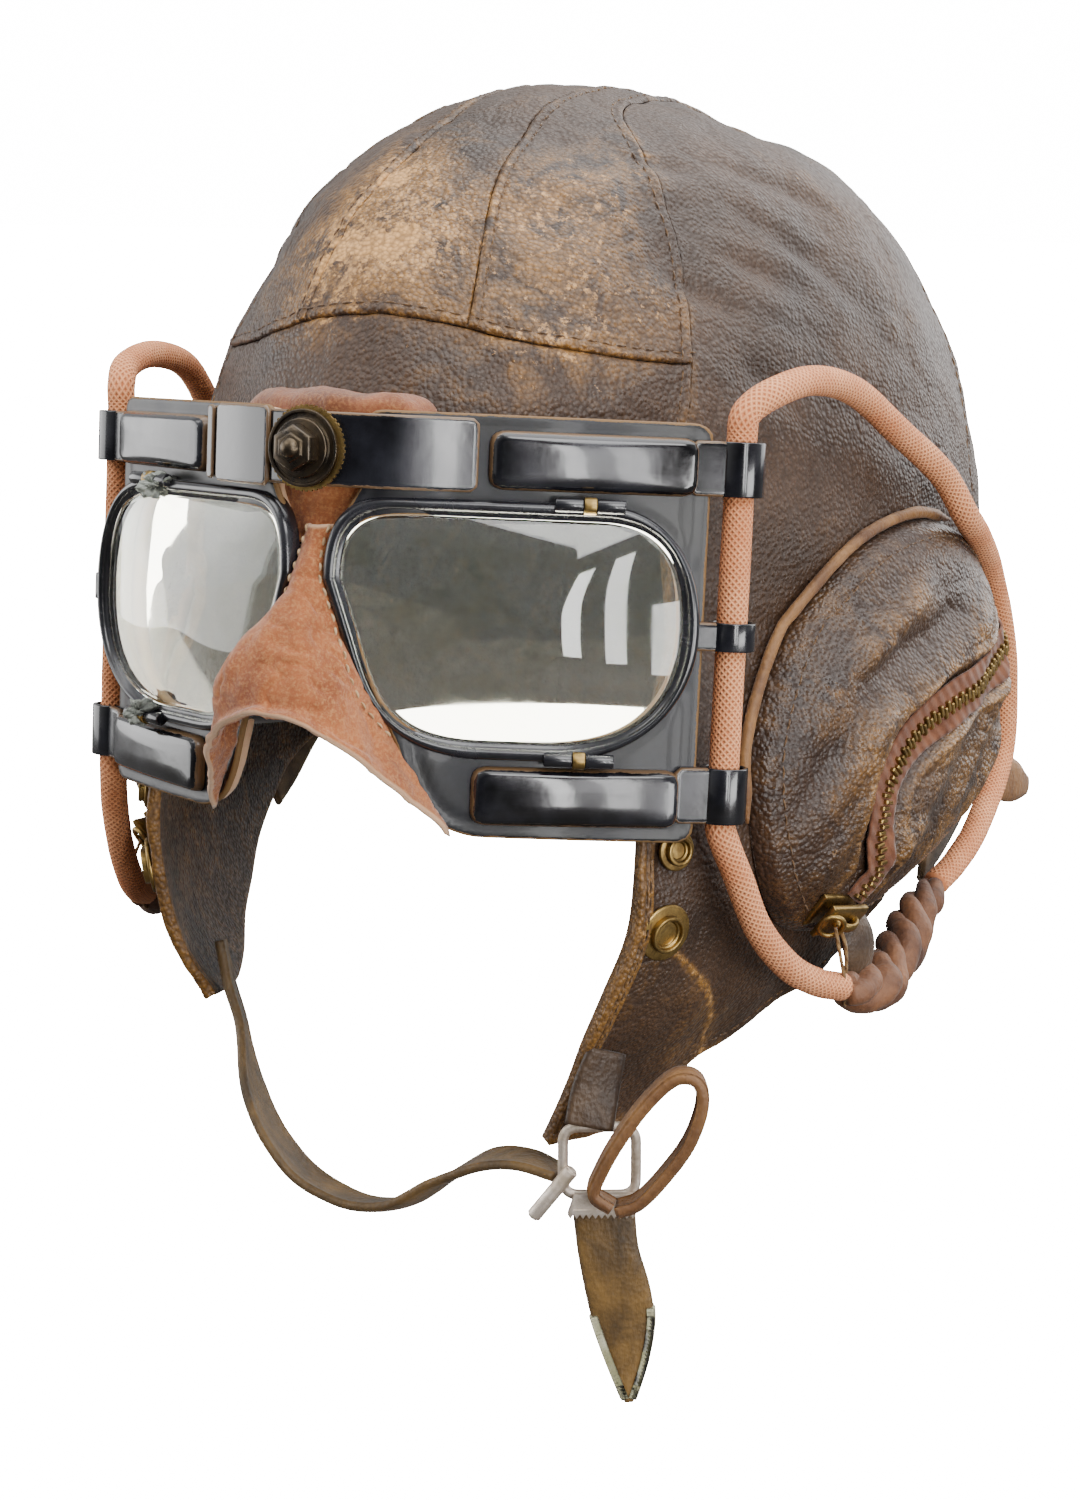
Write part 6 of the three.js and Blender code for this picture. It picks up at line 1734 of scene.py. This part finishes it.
def make_clamps(side, word):
    """Pressed sleeves that hold the cord to the plates, each with a wing on the plate."""
    for place, (bottom, top) in CLAMPS.items():
        sleeve = primitive(f"cord_clamp_{place}_{word}.enamel", CYLINDER,
                           vertices=56, radius=4.75, depth=top - bottom, end_fill_type="NOTHING")
        modified(sleeve, "SOLIDIFY", thickness=0.95 * MM, offset=-1)
        bevelled(sleeve, 0.3)
        at = (*CLAMP_AXIS, (bottom + top) / 2)
        placed(sleeve, Matrix.Translation(Vector(at) * MM), GOGGLES, *side_matrices(side))
        wing = box_slab("wing", (62.6, 69.2, bottom, top), 1.2, GAP, GAP + 0.7, (0.5,), (0.2, 0.5),
                        side=side)
        dress(fused(sleeve, wing), f"cord_clamp_{place}_{word}", ENAMEL)


# Cords, wraps and straps

def cord_route():
    clamped = to_goggles(np.array([(*CLAMP_AXIS, z) for z in CORD_HEIGHTS], float))
    return np.concatenate([CORD_LOOP[::-1], clamped, CORD_UNDER])


def make_cord(side, word):
    path = smooth_path(cord_route(), 0.9)
    radius = CORD_RADIUS * (1 + 0.03 * lumps(path, 12, 2))
    piece = swept(f"goggle_cord_{word}.cotton", sided(path, side), radius[:, None, None] * circle(28))
    # One unit of the pattern for every 20 mm of cord
    uv = piece.data.uv_layers["along"].data
    values = np.empty(len(uv) * 2, np.float32)
    uv.foreach_get("uv", values)
    values[::2] *= len(path) * 0.9 / 20
    uv.foreach_set("uv", values)
    dress(piece, f"goggle_cord_{word}", BRAID)


def make_pull(side, word):
    """Leather tongue and the loop of thread that hang from the slider."""
    rows = [(83.6, -46.5, -165.5, 0.35, 0.93, 0.1, 8), (86.4, -45.5, -170, 0.35, 0.93, 0.1, 9.5),
            (87.2, -44, -176, 0.3, 0.95, 0.1, 10), (86, -42.5, -182, 0.3, 0.95, 0.15, 8)]
    tongue = strap(f"zip_pull_{word}.hide", sided_rows(np.array(rows), side), 1.4, 0.8, 0.9, 0.4)
    dress(tongue, None, TAB_HIDE)
    loop = smooth_path([(84.6, -54.5, -167), (86, -55.5, -172), (86.8, -53.5, -180), (86, -51, -185),
                        (85.6, -49.5, -180), (86, -51.5, -172), (84.8, -53, -166.8)], 0.6)
    thread = swept(f"zip_thread_{word}", sided(loop, side), 0.42 * circle(8))
    dress(thread, None, THREADS)


def sided_rows(rows, side):
    """Rows of place, width direction and width, for one side of the cap."""
    signs = np.array((side, 1, 1, side, 1, 1, 1))
    return rows * signs


def make_wrap(side, word):
    """Three laces twisted round each other where the cord meets the strap."""
    fine = smooth_path(WRAP_ROWS, 0.8)
    path, radius = fine[:, :3], fine[:, 3]
    ahead = unit(np.gradient(path, axis=0))
    up = unit(np.cross(ahead, (1.0, 0, 0)))
    across = np.cross(ahead, up)
    run = np.linspace(0, 1, len(path))
    for k in range(3):
        angle = (2 * math.pi * (k / 3 + 2.3 * run))[:, None]
        lace = path + (across * np.cos(angle) + up * np.sin(angle)) * (radius * 0.42)[:, None]
        swell = (0.56 + 0.12 * np.sin(13 * run + 2 * k) + 0.16 * lumps(lace, 5, 2, k)) * radius
        piece = swept(f"cord_wrap_{word}_{k}.hide", sided(lace, side),
                      swell[:, None, None] * circle(18) * (1, 0.85),
                      None, {"edge": np.full((len(path), 18), 2.0)})
        dress(piece, f"cord_wrap_{word}" if k == 0 else None, WRAP_HIDE)


def wall_row(direction, z, lift):
    def at(turn, height):
        point = wall_point(math.radians(turn), height)
        out = unit(point * (1, 1, 0))
        return point - out * dent_depth(point)
    around, up = at(direction + 1, z) - at(direction - 1, z), at(direction, z + 1) - at(direction, z - 1)
    normal = unit(np.cross(around, up))
    return at(direction, z) + normal * lift, up


def make_goggle_strap():
    rows = []
    for direction, z, width in STRAP_ROWS:
        place, up = wall_row(direction, z, 0.9 + WEB_THICK / 2)
        rows.append((*place, *up, width))
    other = [(-r[0], r[1], r[2], -r[3], r[4], r[5], r[6]) for r in rows[-2::-1]]
    piece = strap("goggle_strap.webbing", np.array(rows + other), WEB_THICK, 1.2)
    dress(piece, "goggle_strap", WEBBING)


# node, stuff: rows, thickness, step, cup, wobble, slot, finish
BANDS = {
    ("chin_strap", "leather"): (CHIN_ROWS, 2.0, 1.0, 0.5, 0.3, "strap_webbing", OLIVE_STRAP),
    ("strap_tail", "leather"): (TAIL_ROWS, 2.0, 0.8, 0.3, 0.2, "strap_webbing", OLIVE_STRAP),
    ("strap_keeper", "calf"): (KEEPER_ROWS, 2.4, 0.8, 0.25, 0, "tan_leather", TAN_HIDE),
    ("buckle_tab", "hide"): (BUCKLE_TAB_ROWS, 2.0, 0.8, 0, 0, "cap_leather", TAB_HIDE),
    ("rear_tab", "calf"): (REAR_TAB_ROWS, 2.0, 0.9, 0.6, 0, "tan_leather", TAN_HIDE)}


def make_chin_strap():
    for (name, stuff), (rows, thick, step, cup, wobble, slot, material) in BANDS.items():
        dress(strap(f"{name}.{stuff}", rows, thick, step, cup, wobble), name, material)
    # Pale tip bound round the tail's point, a strip along each edge
    fine = smooth_path(TAIL_ROWS, 0.8)
    start = np.abs(fine[:, 2] + 242).argmin()
    path, width = fine[start:, :3], fine[start:, 6]
    ahead = unit(np.gradient(path, axis=0))
    across = square_to(fine[start:, 3:6], ahead)
    for k, sign in enumerate((-1, 1)):
        edge = path + across * (sign * (width / 2 - 0.7))[:, None]
        rows = np.column_stack([edge, across, np.full(len(edge), 2.2)])
        trim = strap(f"tail_trim_{k}", rows[::3], 2.7, 0.8)
        dress(trim, None, PALE_TRIM)


def make_buckle():
    """A cast square frame with a roller at its corner, and a toothed clamp plate."""
    place = Matrix.Translation(Vector(BUCKLE_PLACE) * MM) @ Matrix.Rotation(BUCKLE_TURN, 4, "Z")
    ring = rect_outline(-7.4, 7.4, -7.4, 7.4, 3.4)
    wire = smooth_path(np.column_stack([ring[:, 0], 0 * ring[:, 0], ring[:, 1]]), 0.6, True)
    ahead = unit(np.roll(wire, -1, 0) - np.roll(wire, 1, 0))
    side, through = np.cross(ahead, (0, 1.0, 0))[:, None], np.array((0, 1.0, 0))
    section = WIRE_RADIUS * circle(14)
    points = wire[:, None] + side * section[:, :1] + through * section[:, 1:]
    quads = grid_quads(*points.shape[:2], True, True)
    piece = mesh_piece("chin_buckle.nickel", points.reshape(-1, 3), quads.tolist())
    roller = primitive("roller", CYLINDER, vertices=32, radius=1.55, depth=12.6)
    work(roller, lambda c, n: abs(n.z) > 0.9, inset(0.4), swollen(0.4))
    bevelled(roller, 0.3)
    roller.data.transform(Matrix.Rotation(math.radians(38), 4, "Y"))
    roller.data.transform(Matrix.Translation(Vector((-9.6, -1.2, -6.5)) * MM))
    dress(placed(fused(piece, roller), place), "chin_buckle", NICKEL)

    teeth, left, right, top, bottom = 11, -6.6, 8.0, -6.2, -10.6
    outline = [(left, bottom), (left + 1.4, top), (right, top), (right - 0.6, bottom)]
    pitch = (right - 0.6 - left) / teeth
    for k in range(teeth, 0, -1):
        outline += [(left + pitch * (k - 0.5), bottom - 1.0), (left + pitch * (k - 1), bottom)]
    outline = outline[:-1]
    count = len(outline)
    front, back = -WIRE_RADIUS - GAP - 1.4, -WIRE_RADIUS - GAP
    points = [(x, front, z) for x, z in outline] + [(x, back, z) for x, z in outline]
    # The body and each tooth are faces of their own, so that the panel keeps off the teeth
    faces = [[0, 1, 2, 3, *range(5, count, 2)]]
    faces += [[k - 1, k, (k + 1) % count] for k in range(4, count, 2)]
    faces += [[v + count for v in reversed(face)] for face in faces]
    faces += [[k, k + count, (k + 1) % count + count, (k + 1) % count] for k in range(count)]
    clamp = mesh_piece("buckle_clamp.nickel", points, faces)
    bevelled(clamp, 0.16, 2)
    # A shallow panel pressed into its face, left plain
    work(clamp, lambda c, n: n.y < -0.95 and c.z > bottom + 0.4, inset(0.7), pulled(0, 0.2, 0))
    dress(placed(clamp, place), "buckle_clamp", NICKEL)


def make_studs(side, word):
    """Press studs: a flanged eyelet round a dished cap."""
    for place, (y, z, base, cap) in STUDS.items():
        flange = primitive(f"press_stud_{place}_{word}.brass", CYLINDER,
                           vertices=56, radius=base, depth=0.9, location=(0, 0, 0.9 * MM))
        bevelled(flange, 0.35)
        dome = primitive("dome", CYLINDER, vertices=48, radius=cap,
                         depth=1.6, location=(0, 0, 1.9 * MM))
        work(dome, lambda c, n: n.z > 0.9, inset(0.8), pulled(0, 0, -0.9), inset(0.5), pulled(0, 0, -0.5))
        bevelled(dome, 0.28)
        normal = side_normal(y, z)
        seat = np.array((float(side_half_width(y, z)), y, z))
        across = unit(np.cross((0, 0, 1.0), normal))
        stand = axes_matrix(across, np.cross(normal, across), normal, seat)
        dress(placed(fused(flange, dome), stand, *side_matrices(side)),
              f"press_stud_{place}_{word}", BRASS)


# Stage, light and camera

def seen(add, way, low, high, least):
    """1 for the camera's own rays, and from least to 1 for rays through glass that go backwards."""
    behind = add("range", add("part", way, out=1), low, high, least)
    return add("larger", add("ray"), add("times", add("ray", out=TRANSMITTED), behind))


def make_stage():
    floor = primitive("floor", bpy.ops.mesh.primitive_plane_add, size=9000, location=(0, 0, -0.275))
    # A grey board for light and reflections that the camera sees as white
    white, add, place = finish("backlit_white_board", 0.9, Specular_IOR_Level=0.1)
    tone = add("mix", add("noise", place, per(400), 2, 0.55), "4a4846", "504e4c")
    glow = add("times", seen(add, place, -0.2, -0.1, 0.14), 420.0)
    joined(white, Base_Color=tone, Emission_Color=tone, Emission_Strength=glow)
    floor.data.materials.append(white)
    world = bpy.data.worlds.new("studio")
    bpy.context.scene.world = world
    world.use_nodes = True
    add = functools.partial(node, world.node_tree)
    background = world.node_tree.nodes["Background"]
    background.inputs["Color"].default_value = (1, 1, 1, 1)
    # White behind the object; for its light and reflections a room that is dark in front
    ray = add("place", out=0)
    room = add("range", add("dot", ray, (0.55, -0.8, -0.25)), 0.1, 0.8, 0.62, 0.04)
    strength = add("between", seen(add, ray, 0.0, 0.2, 0.2), room, 16.0)
    world.node_tree.links.new(strength, background.inputs["Strength"])
    # name, place, aim, width, height, power
    for name, at, aim, width, height, power in (
            ("window_left_pane", (0.6, -0.74, 0.02), (0.05, -0.1, -0.1), 0.06, 0.45, 1.8),
            ("window_right_pane", (0.71, -0.65, 0.02), (0.05, -0.1, -0.1), 0.07, 0.5, 1.6),
            ("key", (0.7, -0.6, 0.8), (0, 0, -0.1), 0.6, 0.6, 11),
            ("top_box", (0.1, 0.25, 0.85), (0, 0, -0.08), 1.1, 1.1, 14),
            ("left_top", (-0.55, -0.55, 0.75), (0, 0, -0.05), 0.6, 0.6, 5),
            ("side_fill", (0.9, -0.35, -0.25), (0.05, -0.05, -0.15), 0.5, 0.4, 7.5),
            ("left_wall", (-0.95, -0.2, -0.05), (0, 0, -0.1), 0.9, 0.6, 6.5),
            ("rear_wall", (0.5, 0.9, 0.25), (0, 0, -0.1), 1.2, 0.9, 10)):
        data = bpy.data.lights.new(name, "AREA")
        data.shape, data.size, data.size_y, data.energy = "RECTANGLE", width, height, power
        lamp = bpy.data.objects.new(name, data)
        bpy.context.scene.collection.objects.link(lamp)
        lamp.location = at
        lamp.rotation_mode = "QUATERNION"
        lamp.rotation_quaternion = (Vector(aim) - Vector(at)).to_track_quat("-Z", "Y")


def make_camera():
    data = bpy.data.cameras.new("camera")
    data.sensor_width, data.lens = 36, 62.2
    camera = bpy.data.objects.new("camera", data)
    bpy.context.scene.collection.objects.link(camera)
    back = Vector((0.3976, -0.8846, 0.2436)).normalized()
    right = Vector((0.9126, 0.4088, -0.0051))
    right = (right - back * right.dot(back)).normalized()
    turn = Matrix((right, back.cross(right), back)).transposed().to_4x4()
    camera.matrix_world = Matrix.Translation((0.239, -0.547, 0)) @ turn
    bpy.context.scene.camera = camera


make_camera()
make_cap()
for side, word in SIDES:
    make_pocket(side, word)
    make_piping(side, word)
    make_zip(side, word)
    make_slider(side, word)
    make_plates(side, word)
    make_rim(side, word)
    make_clamps(side, word)
    make_cord(side, word)
    make_wrap(side, word)
    make_pull(side, word)
    make_studs(side, word)
make_bridge()
make_nose_piece()
make_brow_pad()
make_goggle_strap()
make_chin_strap()
make_buckle()
make_stage()
